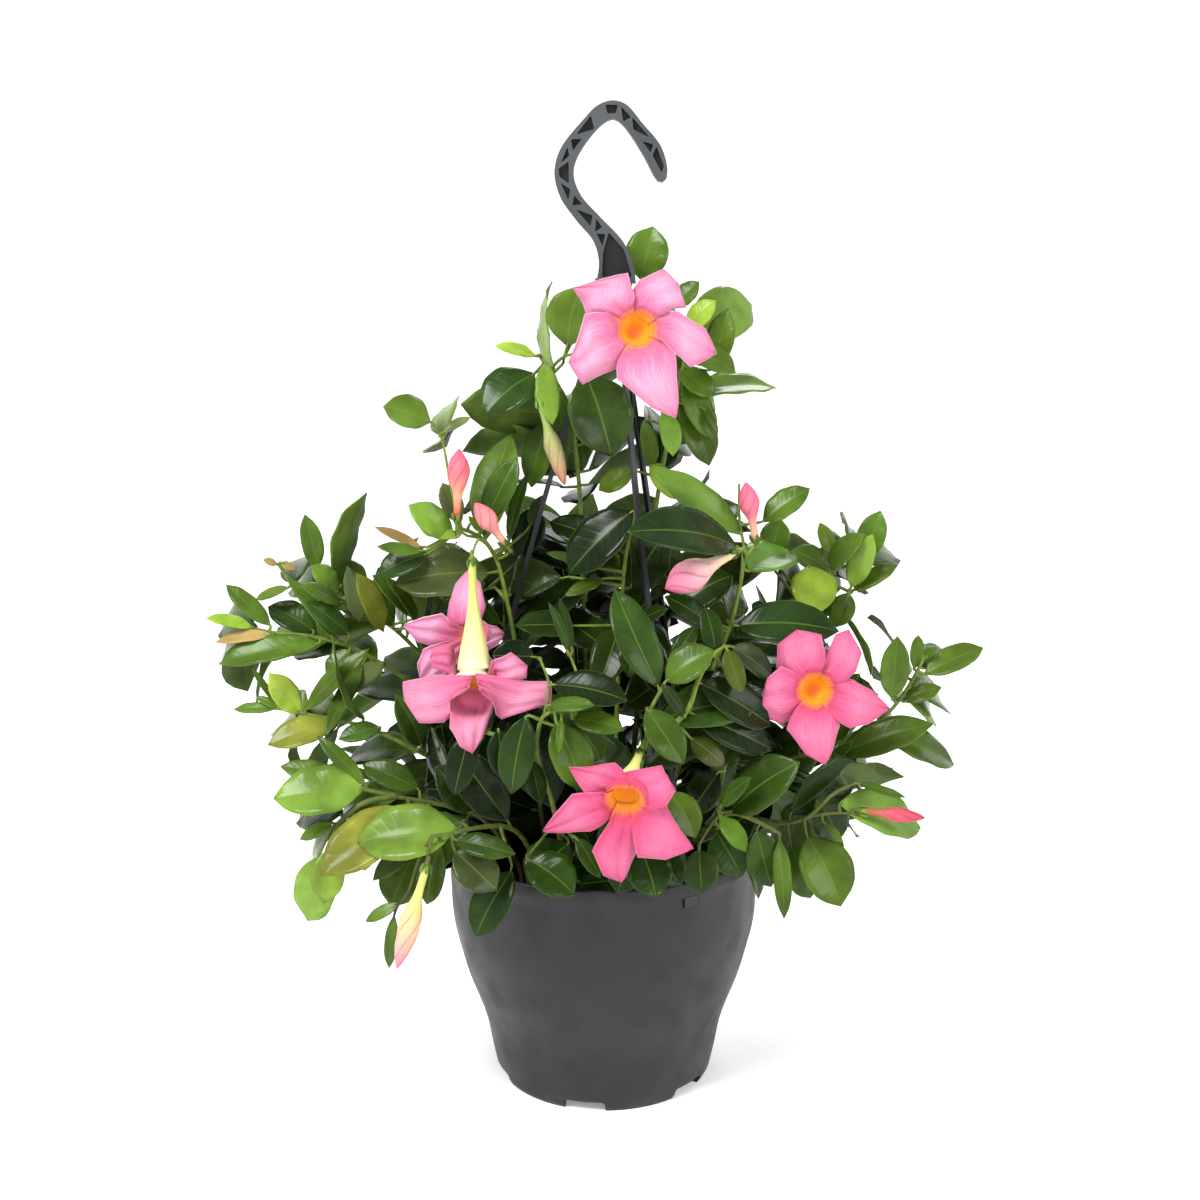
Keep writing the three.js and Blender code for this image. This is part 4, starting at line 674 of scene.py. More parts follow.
def gridShape(bm, columns, rows, place, closed=False):
    # a grid laid out by place(u, v); a closed one has its seam and poles merged
    made = bmesh.ops.create_grid(bm, x_segments=columns, y_segments=rows, size=0.5, calc_uvs=True)["verts"]
    faces = {f for v in made for f in v.link_faces}
    for vert in made:
        vert.co = place(vert.co.x + 0.5, vert.co.y + 0.5)
    if closed:
        bmesh.ops.remove_doubles(bm, verts=made, dist=0.001)
        bmesh.ops.recalc_face_normals(bm, faces=[f for f in faces if f.is_valid])
    return [v for v in made if v.is_valid], [f for f in faces if f.is_valid]


def newBody():
    bm = bmesh.new()
    bm.loops.layers.uv.new("partMap")
    bm.verts.layers.float_color.new("toneAndPaintedLight")
    return bm


def thicken(bm, thickness):
    # a second skin below every sheet, joined to it round the edge; the old faces become the underside
    bm.normal_update()
    sheets = bm.faces[:]
    below = [(v, v.normal * thickness) for v in bm.verts]
    bmesh.ops.extrude_face_region(bm, geom=sheets, use_keep_orig=True)
    for vert, shift in below:
        vert.co -= shift
    return sheets


def node(tree, kind, inputs=None, **settings):
    made = tree.nodes.new("ShaderNode" + kind)
    for key, value in settings.items():
        setattr(made, key, value)
    for key, value in (inputs or {}).items():
        if isinstance(value, bpy.types.NodeSocket):
            tree.links.new(value, made.inputs[key])
        else:
            made.inputs[key].default_value = value
    return made


def calc(tree, operation, *values):
    return node(tree, "Math", dict(enumerate(values)), operation=operation).outputs[0]


def product(tree, a, b):
    return calc(tree, "MULTIPLY", a, b)


def blend(tree, share, a, b, kind="MIX"):
    made = node(tree, "Mix", {0: share, 6: a, 7: b}, data_type="RGBA", blend_type=kind)
    return made.outputs[2]


def shaded(tree, colour, light):
    # a colour times a value
    grey = node(tree, "CombineColor", {0: light, 1: light, 2: light}).outputs[0]
    return blend(tree, 1.0, colour, grey, "MULTIPLY")


def between(tree, value, low, high, toLow=0.0, toHigh=1.0):
    inputs = {"Value": value, "From Min": low, "From Max": high, "To Min": toLow, "To Max": toHigh}
    return node(tree, "MapRange", inputs, interpolation_type="SMOOTHSTEP").outputs[0]


def noise(tree, scale, detail=3.0, stretch=(1, 1, 1), coords="Object"):
    place = node(tree, "TexCoord").outputs[coords]
    moved = node(tree, "Mapping", {"Vector": place, "Scale": stretch}).outputs[0]
    return node(tree, "TexNoise", {"Vector": moved, "Scale": scale, "Detail": detail}).outputs["Fac"]


def ramp(tree, value, stops):
    made = node(tree, "ValToRGB", {"Fac": value})
    cells = made.color_ramp.elements
    while len(cells) < len(stops):
        cells.new(0.5)
    for cell, (spot, colour) in zip(cells, stops):
        cell.position = spot
        cell.color = (*colour, 1)
    return made.outputs[0]


def ownMap(tree):
    # across a blade, petal or tube, and along it
    spot = node(tree, "SeparateXYZ", {"Vector": node(tree, "UVMap", uv_map="partMap").outputs[0]})
    return spot.outputs[0], spot.outputs[1]


def toneWithPaintedLight(tree):
    return node(tree, "Attribute", attribute_name="toneAndPaintedLight").outputs["Color"]


def newMaterial(name, values):
    # a material with its Principled shader set; returns its tree and shader too
    material = bpy.data.materials.new(name)
    material.use_nodes = True
    shader = material.node_tree.nodes["Principled BSDF"]
    for key, value in values.items():
        shader.inputs[key].default_value = value
    return material, material.node_tree, shader


def relief(tree, shader, height, strength, distance):
    bump = node(tree, "Bump", {"Height": height, "Strength": strength, "Distance": distance})
    tree.links.new(bump.outputs[0], shader.inputs["Normal"])


def newGroup(name, takes, gives):
    # an empty node group with its sockets, each a label and a kind
    tree = bpy.data.node_groups.new(name, "ShaderNodeTree")
    for flow, sockets in (("INPUT", takes), ("OUTPUT", gives)):
        for label, kind in sockets.items():
            tree.interface.new_socket(label, in_out=flow, socket_type="NodeSocket" + kind)
    return tree, tree.nodes.new("NodeGroupInput").outputs, tree.nodes.new("NodeGroupOutput").inputs


def useGroup(tree, group, values):
    made = tree.nodes.new("ShaderNodeGroup")
    made.node_tree = group
    for label, value in values.items():
        made.inputs[label].default_value = value
    return made.outputs


leafLook = {
    "pairs": 9.0,
    "lag": {"power": 0.85, "by": 0.16},
    "lateral": {"from": 0.84, "strength": 0.13, "fades": (0.97, 0.55)},
    "midrib": (0.055, 0.015),
    # a pale line along the edge of every blade: painted rim light
    "rim": {"span": (0.93, 0.99), "strength": 0.5},
    "veinAndRimLightTint": (0.12, 0.19, 0.025),
    "top": {"name": "glossyLeaf", "rough": 0.22, "shine": 0.14, "veinsAndRimLight": 0.42, "pale": 0.0},
    "under": {"name": "leafUnderside", "rough": 0.55, "shine": 0.12, "veinsAndRimLight": 0.5, "pale": 0.6},
    "paleTint": (0.075, 0.120, 0.022),
    "mottle": {"scale": 45.0, "range": (0.68, 1.25)},
    "relief": {"fine": 900.0, "share": 0.25, "strength": 0.1, "distance": 0.0005},
}
stemLook = {
    "rough": 0.45,
    "shine": 0.2,
    "young": (0.11, 0.16, 0.02),
    "old": (0.05, 0.048, 0.018),
    "turnsGreen": (0.11, 0.24),
    "mottle": {"scale": 250.0, "range": (0.75, 1.2)},
    "relief": {"scale": 400.0, "stretch": (1, 1, 0.15), "strength": 0.25, "distance": 0.0004},
}


def veinAndRimLightGroup():
    # pinnate veins on a blade, those of one half starting between those of the other, and a painted rim light
    # along its edge
    look = leafLook
    tree, takes, gives = newGroup("leafVeinsAndRimLight", {"Pairs": "Float"}, {"VeinsPlusRimLight": "Float", "Swell": "Float"})
    u, v = ownMap(tree)
    side = calc(tree, "SUBTRACT", u, 0.5)
    across = product(tree, calc(tree, "ABSOLUTE", side), 2.0)
    shift = product(tree, calc(tree, "GREATER_THAN", side, 0.0), 0.5)
    lag = product(tree, calc(tree, "POWER", across, look["lag"]["power"]), look["lag"]["by"])
    along = product(tree, calc(tree, "SUBTRACT", v, lag), takes["Pairs"])
    # twenty whole beats keep the sum above zero
    beat = calc(tree, "FRACT", calc(tree, "ADD", along, calc(tree, "ADD", shift, 20.0)))
    wave = product(tree, calc(tree, "ABSOLUTE", calc(tree, "SUBTRACT", beat, 0.5)), 2.0)
    lateral = look["lateral"]
    branches = product(tree, between(tree, wave, lateral["from"], 1.0),
                       between(tree, across, *lateral["fades"], 0.0, lateral["strength"]))
    midrib = between(tree, across, *look["midrib"])
    # painted rim light: a pale line along the blade's edge, given out with the veins
    rim = between(tree, across, *look["rim"]["span"], 0.0, look["rim"]["strength"])
    lines = calc(tree, "MAXIMUM", branches, calc(tree, "MAXIMUM", midrib, rim))
    tree.links.new(lines, gives["VeinsPlusRimLight"])
    swell = product(tree, calc(tree, "SUBTRACT", 1.0, calc(tree, "POWER", wave, 3.0)),
                    between(tree, across, 0.0, 0.3))
    tree.links.new(calc(tree, "SUBTRACT", swell, midrib), gives["Swell"])
    return tree


def leafMaterial(look, veinsAndRimLight):
    material, tree, shader = newMaterial(look["name"], {"Roughness": look["rough"],
                                                        "Specular IOR Level": look["shine"]})
    # each leaf's tone with its painted light and shade
    tone = toneWithPaintedLight(tree)
    veinAndRimLightOut = useGroup(tree, veinsAndRimLight, {"Pairs": leafLook["pairs"]})
    colour = blend(tree, look["pale"], tone, (*leafLook["paleTint"], 1)) if look["pale"] else tone
    mottle = leafLook["mottle"]
    spots = between(tree, noise(tree, mottle["scale"], 4.0), 0.35, 0.7, *mottle["range"])
    colour = shaded(tree, colour, spots)
    # the veins and the painted rim light, in a paler green
    strength = product(tree, veinAndRimLightOut["VeinsPlusRimLight"], look["veinsAndRimLight"])
    tree.links.new(blend(tree, strength, colour, (*leafLook["veinAndRimLightTint"], 1)), shader.inputs["Base Color"])
    rough = leafLook["relief"]
    fine = product(tree, noise(tree, rough["fine"]), rough["share"])
    relief(tree, shader, calc(tree, "ADD", veinAndRimLightOut["Swell"], fine), rough["strength"], rough["distance"])
    return material


def stemMaterial():
    look = stemLook
    material, tree, shader = newMaterial("greenStem", {"Roughness": look["rough"],
                                                       "Specular IOR Level": look["shine"]})
    height = node(tree, "SeparateXYZ", {"Vector": node(tree, "TexCoord").outputs["Object"]}).outputs[2]
    grown = between(tree, height, *look["turnsGreen"])
    colour = blend(tree, grown, (*look["old"], 1), (*look["young"], 1))
    mottle, rough = look["mottle"], look["relief"]
    spots = between(tree, noise(tree, mottle["scale"]), 0.3, 0.7, *mottle["range"])
    tree.links.new(shaded(tree, colour, spots), shader.inputs["Base Color"])
    grain = noise(tree, rough["scale"], 2.0, rough["stretch"])
    relief(tree, shader, grain, rough["strength"], rough["distance"])
    return material


# mostly the numbers that the stems and leaves of the solids are made with
growth = {
    "soilTop": 119,
    "inSoil": (-20, -6, 10),
    "stem": {"step": 32, "radius": 1.8},
    "twig": {"step": 18, "radius": 1.0},
    "fine": 5,
    "taper": 0.45,
    "arch": 0.07,
    "flat": {"upTo": 15.5, "fold": 0.10},
    "fold": 0.22,
    "seed": 20,
    "spacing": {"drawn": 30, "bare": 16},
    "start": 0.2,
    "length": (50, 66),
    "slender": 0.48,
    "stalk": 5,
    "spread": 62,
    "turn": 40,
    "roll": 15,
    "droop": 0.3,
    "behind": 4,
    "isTip": 0.3,
}
# how far a leaf may have swung clear of its neighbours: its tip's depth and its roll
swings = [(0, 0), (8, 8), (-8, -8), (16, 16), (-16, -16), (26, 0), (-26, 0), (36, 10), (-36, -10)]
leafTones = {
    "m": (0.027, 0.062, 0.006),
    "d": (0.010, 0.027, 0.004),
    "g": (0.040, 0.064, 0.020),
    "l": (0.057, 0.122, 0.015),
    "y": (0.098, 0.186, 0.017),
    "b": (0.170, 0.105, 0.035),
    "o": (0.075, 0.100, 0.012),
}
# outer leaves are younger and yellower; their lightness against the dark inner ones is partly their age and
# mostly painted light outside and painted shade inside
shading = {
    "middle": (0, 0, 210),
    "reach": (135, 170, 160),
    "from": 0.6,
    "to": 1.2,
    "inner": 0.4,
    "outer": 1.9,
    "warm": 0.22,
    "spread": {"drawn": 0.12, "byRule": 0.3},
    "warmth": (0.9, 1.12),
    "most": (0.3, 0.4),
}
# how wide a blade is along its length, as shares
outlineAt = [0, 0.03, 0.08, 0.16, 0.28, 0.40, 0.52, 0.64, 0.75, 0.84, 0.91, 0.96, 1]
outlineWidth = [0.05, 0.14, 0.38, 0.66, 0.90, 0.99, 1.0, 0.95, 0.83, 0.64, 0.40, 0.16, 0.012]
# how blades bend and ripple, how finely they are made, and the radii along a leaf's stalk
blade = {
    "sway": 0.03,
    "ripple": (0.01, 0.03),
    "waves": 3.2,
    "lag": 1.9,
    "thickness": 0.5,
    "grid": (8, 16),
    "smallGrid": (4, 8),
    "sepalGrid": (2, 4),
    "stalk": (1.2, 0.95, 0.85, 0.8, 0.7, 0.5),
}
chance = random.Random(3)


def drawnLeaves(vine, spines):
    leaves = []
    for tipX, tipHeight, tipDepth, x, height, depth, width, *tone in vine["leaves"]:
        base = seen((x, height, depth))
        leaves.append({
            "root": nearestOn(spines, base), "base": base, "tip": seen((tipX, tipHeight, tipDepth)),
            "width": width, "roll": 0, "facing": np.array((0, -0.7, 0.72)), "tone": tone[0] if tone else "m",
        })
    return leaves


def ruleLeaves(vine, spines, numbers):
    # pairs of leaves along the main stem, each pair turned from the one below
    path = SmoothPath(spines[0])
    spacing = growth["spacing"]["drawn" if vine["leaves"] else "bare"]
    start = growth["start"]
    joints = math.floor(path.length * (1 - start) / spacing)
    leaves = []
    for joint in range(joints):
        share = start + (1 - start) * (joint + 0.5) / joints
        root = path.point(share)
        forward = path.heading(share)
        outward = unit(root * (1, 1, 0))
        across = unit(np.cross(forward, up))
        first = joint % 2 * 90 + growth["turn"] * next(numbers)
        for half in (0, 180):
            low, high = growth["length"]
            length = low + (high - low) * next(numbers)
            out = turned(across, forward, (first + half) * turn)
            heading = forward * math.cos(growth["spread"] * turn) + out * math.sin(growth["spread"] * turn)
            heading = unit(heading - up * growth["droop"] * next(numbers))
            base = root + heading * growth["stalk"]
            tip = base + heading * length
            roll = growth["roll"] * (2 * next(numbers) - 1)
            if not vine["leaves"] or tip[1] > root[1] + growth["behind"]:
                tone = "l" if share > 0.85 else "d" if root[2] < 190 else "m"
                leaves.append({
                    "root": root, "base": base, "tip": tip, "width": length * growth["slender"],
                    "roll": roll, "facing": outward * 0.8 + up * 0.6, "tone": tone, "isByRule": True,
                })
    return leaves


def settled(leaf, tips):
    # the way this leaf swung clear of its neighbours, found by where the solid has its tip
    for depth, roll in swings:
        tip = leaf["tip"] + (0, depth, 0)
        if tips.find(Vector(tip))[2] < growth["isTip"]:
            axis = unit(tip - leaf["base"])
            top = turned(unit(squared(leaf["facing"], axis)), axis, (leaf["roll"] + roll) * turn)
            return {**leaf, "tip": tip, "axis": axis, "top": top}
    return None


def bladeSpot(leaf, u, v):
    base, axis, top = leaf["base"], leaf["axis"], leaf["top"]
    right = np.cross(axis, top)
    length = np.linalg.norm(leaf["tip"] - base)
    side = 2 * u - 1
    half = leaf["width"] / 2 * np.interp(v, outlineAt, outlineWidth)
    rise = 4 * growth["arch"] * length * v * (1 - v)
    sway = right * leaf.get("sway", 0) * length * math.sin(math.pi * v)
    middle = base + axis * length * v + top * rise + sway
    fold = growth["flat"]["fold"] if leaf["width"] <= growth["flat"]["upTo"] else growth["fold"]
    return middle + right * side * half + top * half * (fold * abs(side) ** 1.25 - 0.06 * side**4)


def bladeShape(bm, leaf, columns, rows):
    leaf["sway"] = chance.uniform(-blade["sway"], blade["sway"])
    phase = chance.random()
    ripple = leaf["width"] * chance.uniform(*blade["ripple"])

    def place(u, v):
        side = 2 * u - 1
        wave = math.sin(2 * math.pi * (blade["waves"] * v + phase) + (blade["lag"] if side > 0 else 0))
        return bladeSpot(leaf, u, v) + leaf["top"] * ripple * side**2 * wave

    verts = gridShape(bm, columns, rows, place)[0]
    layer = bm.verts.layers.float_color["toneAndPaintedLight"]
    red, green, blue = leafTones[leaf["tone"]]
    away = ((leaf["base"] + leaf["tip"]) / 2 - shading["middle"]) / shading["reach"]
    young = smoothStep(shading["from"], shading["to"], np.linalg.norm(away))
    spread = shading["spread"]["byRule" if leaf.get("isByRule") else "drawn"]
    # painted shade on the inner leaves and painted light on the outer ones, partly also their age
    paintedLight = shading["inner"] + (shading["outer"] - shading["inner"]) * young
    light = chance.uniform(1 - spread, 1 + spread) * paintedLight
    warm = chance.uniform(*shading["warmth"]) * (1 + shading["warm"] * young)
    mostRed, mostGreen = shading["most"]
    for vert in verts:
        vert[layer] = (min(mostRed, red * light * warm), min(mostGreen, green * light), blue * light, 1)


# smaller leaves that the solids leave out: as many as find a clear place among the others
restLook = {
    "seed": 8,
    "tries": 9000,
    "most": 460,
    # mostly dark tones, as painted shade on leaves that sit deep inside the bush
    "tonesWithPaintedShade": "mmmmmdddddgl",
    "length": (38, 62),
    "slender": (0.46, 0.56),
    "stalk": (3, 9),
    "spread": (40, 85),
    "droop": 0.25,
    "roll": 25,
    "clear": 2.2,
    "cell": 7,
    "reach": 4,
    "front": -74,
    "back": 130,
    "height": (126, 408),
    "overPot": 96,
    "trial": {"columns": 5, "rows": 9, "start": 0.16},
}


class Crowd:
    # the places taken so far, in cells of space
    def __init__(self, cell):
        self.cell = cell
        self.cells = {}

    def add(self, spots):
        for spot in spots:
            self.cells.setdefault(tuple(int(c // self.cell) for c in spot), []).append(spot)

    def isClear(self, spot, gap):
        x, y, z = (int(c // self.cell) for c in spot)
        near = [other for i in (x - 1, x, x + 1) for j in (y - 1, y, y + 1) for k in (z - 1, z, z + 1)
                for other in self.cells.get((i, j, k), ())]
        return all(math.dist(spot, other) > gap for other in near)


class FrontView:
    # how far back the nearest thing lies in each cell of the drawing
    def __init__(self, cell):
        self.cell = cell
        self.depths = {}

    def key(self, spot):
        reach = (spot[1] - eye[1]) / -eye[1]
        return tuple(int(((spot[k] - eye[k]) / reach + eye[k]) // self.cell) for k in (0, 2))

    def add(self, spots):
        for spot in spots:
            key = self.key(spot)
            self.depths[key] = min(spot[1], self.depths.get(key, 1000))

    def isBehind(self, spot):
        # at least 4 mm behind what stands round here
        x, z = self.key(spot)
        around = [(x + i, z + k) for i in (-1, 0, 1) for k in (-1, 0, 1)]
        near = [self.depths[key] for key in around if key in self.depths]
        return spot[1] > max(near, default=-1000) + 4

    def isEnclosed(self, spot, reach):
        # something stands here, or on at least three of the four sides
        x, z = self.key(spot)
        steps = range(1, reach + 1)
        ways = ((1, 0), (-1, 0), (0, 1), (0, -1))
        sides = [any((x + i * n, z + k * n) in self.depths for n in steps) for i, k in ways]
        return (x, z) in self.depths or sum(sides) > 2


def bladeSpots(leaf, columns=5, rows=11, start=0):
    return [bladeSpot(leaf, u, v) for u in np.linspace(0, 1, columns) for v in np.linspace(start, 1, rows)]


def nodeSpots(name):
    # points about 4 mm apart over a solid of the frame
    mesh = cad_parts[name].data
    found = [vert.co / mm for vert in mesh.vertices]
    for face in mesh.polygons:
        corners = [mesh.vertices[k].co / mm for k in face.vertices]
        count = math.ceil(max((a - b).length for a, b in zip(corners, corners[1:] + corners[:1])) / 4)
        for i in range(count + 1):
            for k in range(count + 1 - i):
                weights = (i / count, k / count, 1 - (i + k) / count)
                found.append(sum((c * w for c, w in zip(corners, weights)), Vector()))
    return [np.array(spot) for spot in found]


def restLeaf(draw, root, forward):
    # a small leaf by chance, on a stem at root that runs forward
    look = restLook
    spread = draw.uniform(*look["spread"]) * turn
    out = turned(unit(np.cross(forward, (0.3, 0.5, 0.8))), forward, draw.uniform(0, 2 * math.pi))
    axis = unit(forward * math.cos(spread) + out * math.sin(spread) - up * look["droop"] * draw.random())
    base = root + axis * draw.uniform(*look["stalk"])
    length = draw.uniform(*look["length"])
    facing = unit(root * (1, 1, 0)) * 0.8 + up * 0.6
    top = turned(unit(squared(facing, axis)), axis, draw.uniform(-look["roll"], look["roll"]) * turn)
    # a tone at random, mostly dark as painted shade
    tone = draw.choice(look["tonesWithPaintedShade"])
    return {"base": base, "tip": base + axis * length, "axis": axis, "top": top, "tone": tone,
            "isByRule": True, "isSmall": True, "width": length * draw.uniform(*look["slender"])}


def restLeaves(plants, leafLists):
    look = restLook
    low, high = look["height"]
    draw = random.Random(look["seed"])
    crowd = Crowd(look["clear"] + 0.1)
    view = FrontView(look["cell"])
    for name in ["hanger", *(flower["name"] for flower in blooms + buds)]:
        spots = nodeSpots(name)
        crowd.add(spots)
        view.add(spots)
    for leaves in leafLists:
        for leaf in leaves:
            crowd.add(bladeSpots(leaf))
            view.add(bladeSpots(leaf))
    for vine, spines, lines in plants:
        crowd.add(spot for line in lines for spot in line)
    nodes = [(k, line[i], unit(line[i + 1] - line[i])) for k, (vine, spines, lines) in enumerate(plants)
             for line in lines for i in range(len(line) - 1) if low < line[i][2] < high]
    rest = [[] for _ in plants]

    def isFree(spot):
        isOffPot = spot[2] > low or math.hypot(spot[0], spot[1]) > look["overPot"]
        return look["front"] < spot[1] < look["back"] and isOffPot

    for _ in range(look["tries"]):
        k, root, forward = draw.choice(nodes)
        leaf = restLeaf(draw, root, forward)
        spots = bladeSpots(leaf, **look["trial"])
        if (all(isFree(s) for s in spots)
                and all(view.isBehind(s) and view.isEnclosed(s, look["reach"]) for s in spots[::2])
                and all(crowd.isClear(s, look["clear"]) for s in spots)):
            rest[k].append(leaf)
            crowd.add(bladeSpots(leaf))
            if sum(len(leaves) for leaves in rest) == look["most"]:
                break
    return rest


def flowerAxis(flower):
    # where a flower meets its stalk, and which way it grows
    front = seen(flower.get("calyx") or flower["base"])
    return front, unit(seen(flower.get("throat") or flower["tip"]) - front)


def cupLine(flower, lines):
    # the green cup that a flower sits on, and the stalk that bears it
    front, axis = flowerAxis(flower)
    back = front - axis * 3.5
    stalk = SmoothPath([nearestOn(lines, back), back - axis * 1.5, back, front])
    return list(zip(stalk.spaced(stalk.length / 9), (1.1, 1, 1, 1, 1, 1, 1.2, 1.6, 2.1, 2.3)))


def sepals(flower):
    front, axis = flowerAxis(flower)
    across = acrossOf(axis)
    found = []
    for k in range(5):
        out = turned(across, axis, (72 * k + 20) * turn)
        base = front - axis * 1.2 + out * 2.1
        tip = front + axis * 3.6 + out * 3.2
        along = unit(tip - base)
        found.append({"base": base, "tip": tip, "axis": along, "width": 2.3, "tone": "l",
                      "top": unit(squared(out, along))})
    return found


def growVine(vine, lines, leaves, materials):
    flowers = [flower for flower in blooms + buds if flower["vine"] == vine["name"]]
    bm = newBody()
    for leaf in leaves:
        bladeShape(bm, leaf, *blade["smallGrid" if leaf.get("isSmall") else "grid"])
    for flower in flowers:
        for sepal in sepals(flower):
            bladeShape(bm, sepal, *blade["sepalGrid"])
    for face in thicken(bm, blade["thickness"]):
        face.material_index = 1
    blades = len(bm.faces)
    tubes = []
    for k, line in enumerate(lines):
        radius = growth["stem" if k < len(vine["stems"]) else "twig"]["radius"]
        tubes.append([(spot, radius * (1 - growth["taper"] * i / len(line))) for i, spot in enumerate(line)])
    for leaf in leaves:
        root = nearestOn(lines, leaf["base"])
        stalk = SmoothPath([root, leaf["base"], leaf["base"] + leaf["axis"] * 3])
        tubes.append(list(zip(stalk.spaced(stalk.length / 5), blade["stalk"])))
    tubes += [cupLine(flower, lines) for flower in flowers]
    bm.from_mesh(roundLines(tubes, 1))
    bm.faces.ensure_lookup_table()
    for face in bm.faces[blades:]:
        face.material_index = 2
    settle(meshPiece(vine["name"] + "Grown", bm, materials), [vine["name"]])


def nodeTips(name):
    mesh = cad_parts[name].data
    tree = kdtree.KDTree(len(mesh.vertices))
    for k, vert in enumerate(mesh.vertices):
        tree.insert(vert.co / mm, k)
    tree.balance()
    return tree


def growVines():
    veinsAndRimLight = veinAndRimLightGroup()
    materials = [leafMaterial(leafLook["top"], veinsAndRimLight), leafMaterial(leafLook["under"], veinsAndRimLight), stemMaterial()]
    numbers = repeatable(growth["seed"])
    plants = []
    for vine in vines:
        x, y = vine["root"]
        soil = [np.array((x, y, growth["soilTop"] + level)) for level in growth["inSoil"]]
        # spines are the solids' coarse stems, which leaves were placed on; lines are the fine ones
        spines = []
        lines = []
        for k, drawn in enumerate(vine["stems"] + vine["twigs"]):
            size = growth["stem" if k < len(vine["stems"]) else "twig"]
            points = [seen(p) for p in drawn]
            for found, step in ((spines, size["step"]), (lines, growth["fine"])):
                path = [nearestOn(found, points[0])] + points[1:] if found else soil + points
                found.append(SmoothPath(path).spaced(step))
        plants.append((vine, spines, lines))
    leafLists = []
    for vine, spines, lines in plants:
        tips = nodeTips(vine["name"])
        found = drawnLeaves(vine, spines) + ruleLeaves(vine, spines, numbers)
        leafLists.append([leaf for leaf in (settled(leaf, tips) for leaf in found) if leaf])
    rest = restLeaves(plants, leafLists)
    print("leaves:", sum(map(len, leafLists)), "as in the solids, and", sum(map(len, rest)), "more")
    for (vine, spines, lines), leaves, more in zip(plants, leafLists, rest):
        growVine(vine, lines, leaves + more, materials)
    print("vines grown:", len(plants))


bloomLook = {
    "throat": (0.72, 0.26, 0.006),
    "glow": (0.74, 0.17, 0.03),
    "warm": (0.74, 0.15, 0.10),
    "shade": (0.62, 0.075, 0.14),
    "pink": (0.72, 0.115, 0.25),
    "pale": (0.80, 0.24, 0.38),
    "edge": (0.58, 0.055, 0.16),
    "hem": (0.86, 0.46, 0.56),
    "tube": [
        (0.0, (0.30, 0.36, 0.07)), (0.14, (0.44, 0.45, 0.11)), (0.26, (0.62, 0.57, 0.20)),
        (0.40, (0.68, 0.60, 0.30)), (0.50, (0.74, 0.66, 0.45)), (0.545, (0.78, 0.72, 0.64)),
        (0.575, (0.70, 0.14, 0.16)),
    ],
    "skin": {"Roughness": 0.6, "Specular IOR Level": 0.25},
    "sheen": {"Sheen Weight": 0.2, "Sheen Roughness": 0.4},
    # how deep each bloom's pink is, as a share of its red, green and blue; part of it is painted light and
    # shade that evens out how brightly each bloom is lit, lighter on the shaded bloom_left_behind
    "depth": {
        "bloom_top": (0.76, 1.15, 1.05),
        "bloom_left_hanging": (0.79, 0.99, 0.94),
        "bloom_left_behind": (0.88, 1.3, 1.25),
        "bloom_right": (0.73, 0.61, 0.7),
        "bloom_front": (0.73, 0.5, 0.63),
    },
}
# a petal starts inside the funnel and leaves it at the rim; shares are of its length or of the mouth's radius
petalForm = {
    "grid": (14, 20),
    "thickness": 0.45,
    "inside": 0.2,
    "rim": {"share": 0.92, "under": 0.6, "down": (0.28, 4), "out": (1.2, 2)},
    "join": 0.3,
    "twist": 1.6,
    "crisp": 0.82,
    "wider": 0.42,
    "layer": 0.8,
    "arch": 0.05,
    "curl": 0.06,
    "crease": {"depth": 0.5, "narrow": 5},
    "ruffle": {"height": 2.0, "waves": 11, "lag": 2},
    "folds": {"height": 0.8, "waves": 8},
    "back": {"height": 3.2, "from": 0.55},
}
funnelForm = {
    "grid": (24, 34),
    "bend": {"share": 0.45, "most": 16},
    # foot: shares of the length, and radii; bell: shares of the length and of the mouth's radius; lip: how
    # deep below the mouth, and shares of its radius
    "foot": [(0, 0.05), (0, 1.8), (0.12, 2.1), (0.27, 2.9)],
    "bell": [(0.42, 0.5), (0.6, 0.75), (0.78, 0.9)],
    "lip": [(4, 0.95), (2.4, 0.94), (3.3, 0.82), (4.8, 0.68), (6.5, 0.56), (8.5, 0.42), (10.5, 0.22)],
    "end": (11, 0.05),
}


def petalMaterial(name, stops):
    # stops give the colour from the throat (0) to the end (1)
    look = bloomLook
    material, tree, shader = newMaterial(name, {**look["skin"], **look["sheen"]})
    u, v = ownMap(tree)
    across = product(tree, calc(tree, "ABSOLUTE", calc(tree, "SUBTRACT", u, 0.5)), 2.0)
    streaks = calc(tree, "SUBTRACT", noise(tree, 5.0, 4.0, (7, 1, 1), "UV"), 0.5)
    along = calc(tree, "ADD", v, product(tree, streaks, 0.3))
    body = ramp(tree, along, stops)
    outer = product(tree, between(tree, across, 0.5, 0.97), between(tree, v, 0.4, 0.6, 0, 0.5))
    body = blend(tree, outer, body, (*look["edge"], 1))
    rim = product(tree, between(tree, across, 0.965, 0.99), between(tree, v, 0.4, 0.5, 0, 0.45))
    body = blend(tree, rim, body, (*look["hem"], 1))
    # each bloom's own depth of pink with its painted light and shade, from the throat outward
    body = blend(tree, between(tree, along, 0.16, 0.3), body, toneWithPaintedLight(tree), "MULTIPLY")
    fine = between(tree, noise(tree, 9.0, 6.0, (12, 1, 1), "UV"), 0.3, 0.7, 0.78, 1.14)
    tree.links.new(shaded(tree, body, fine), shader.inputs["Base Color"])
    relief(tree, shader, noise(tree, 7.0, 5.0, (12, 1, 1), "UV"), 0.5, 0.0008)
    return material


def funnelMaterial():
    look = bloomLook
    material, tree, shader = newMaterial("paleFunnel", look["skin"])
    inside = [(0.62, look["throat"]), (0.8, look["throat"]), (0.97, look["glow"])]
    body = ramp(tree, ownMap(tree)[1], look["tube"] + inside)
    fine = between(tree, noise(tree, 30.0, 4.0, (8, 1, 1), "UV"), 0.3, 0.7, 0.92, 1.06)
    tree.links.new(shaded(tree, body, fine), shader.inputs["Base Color"])
    return material


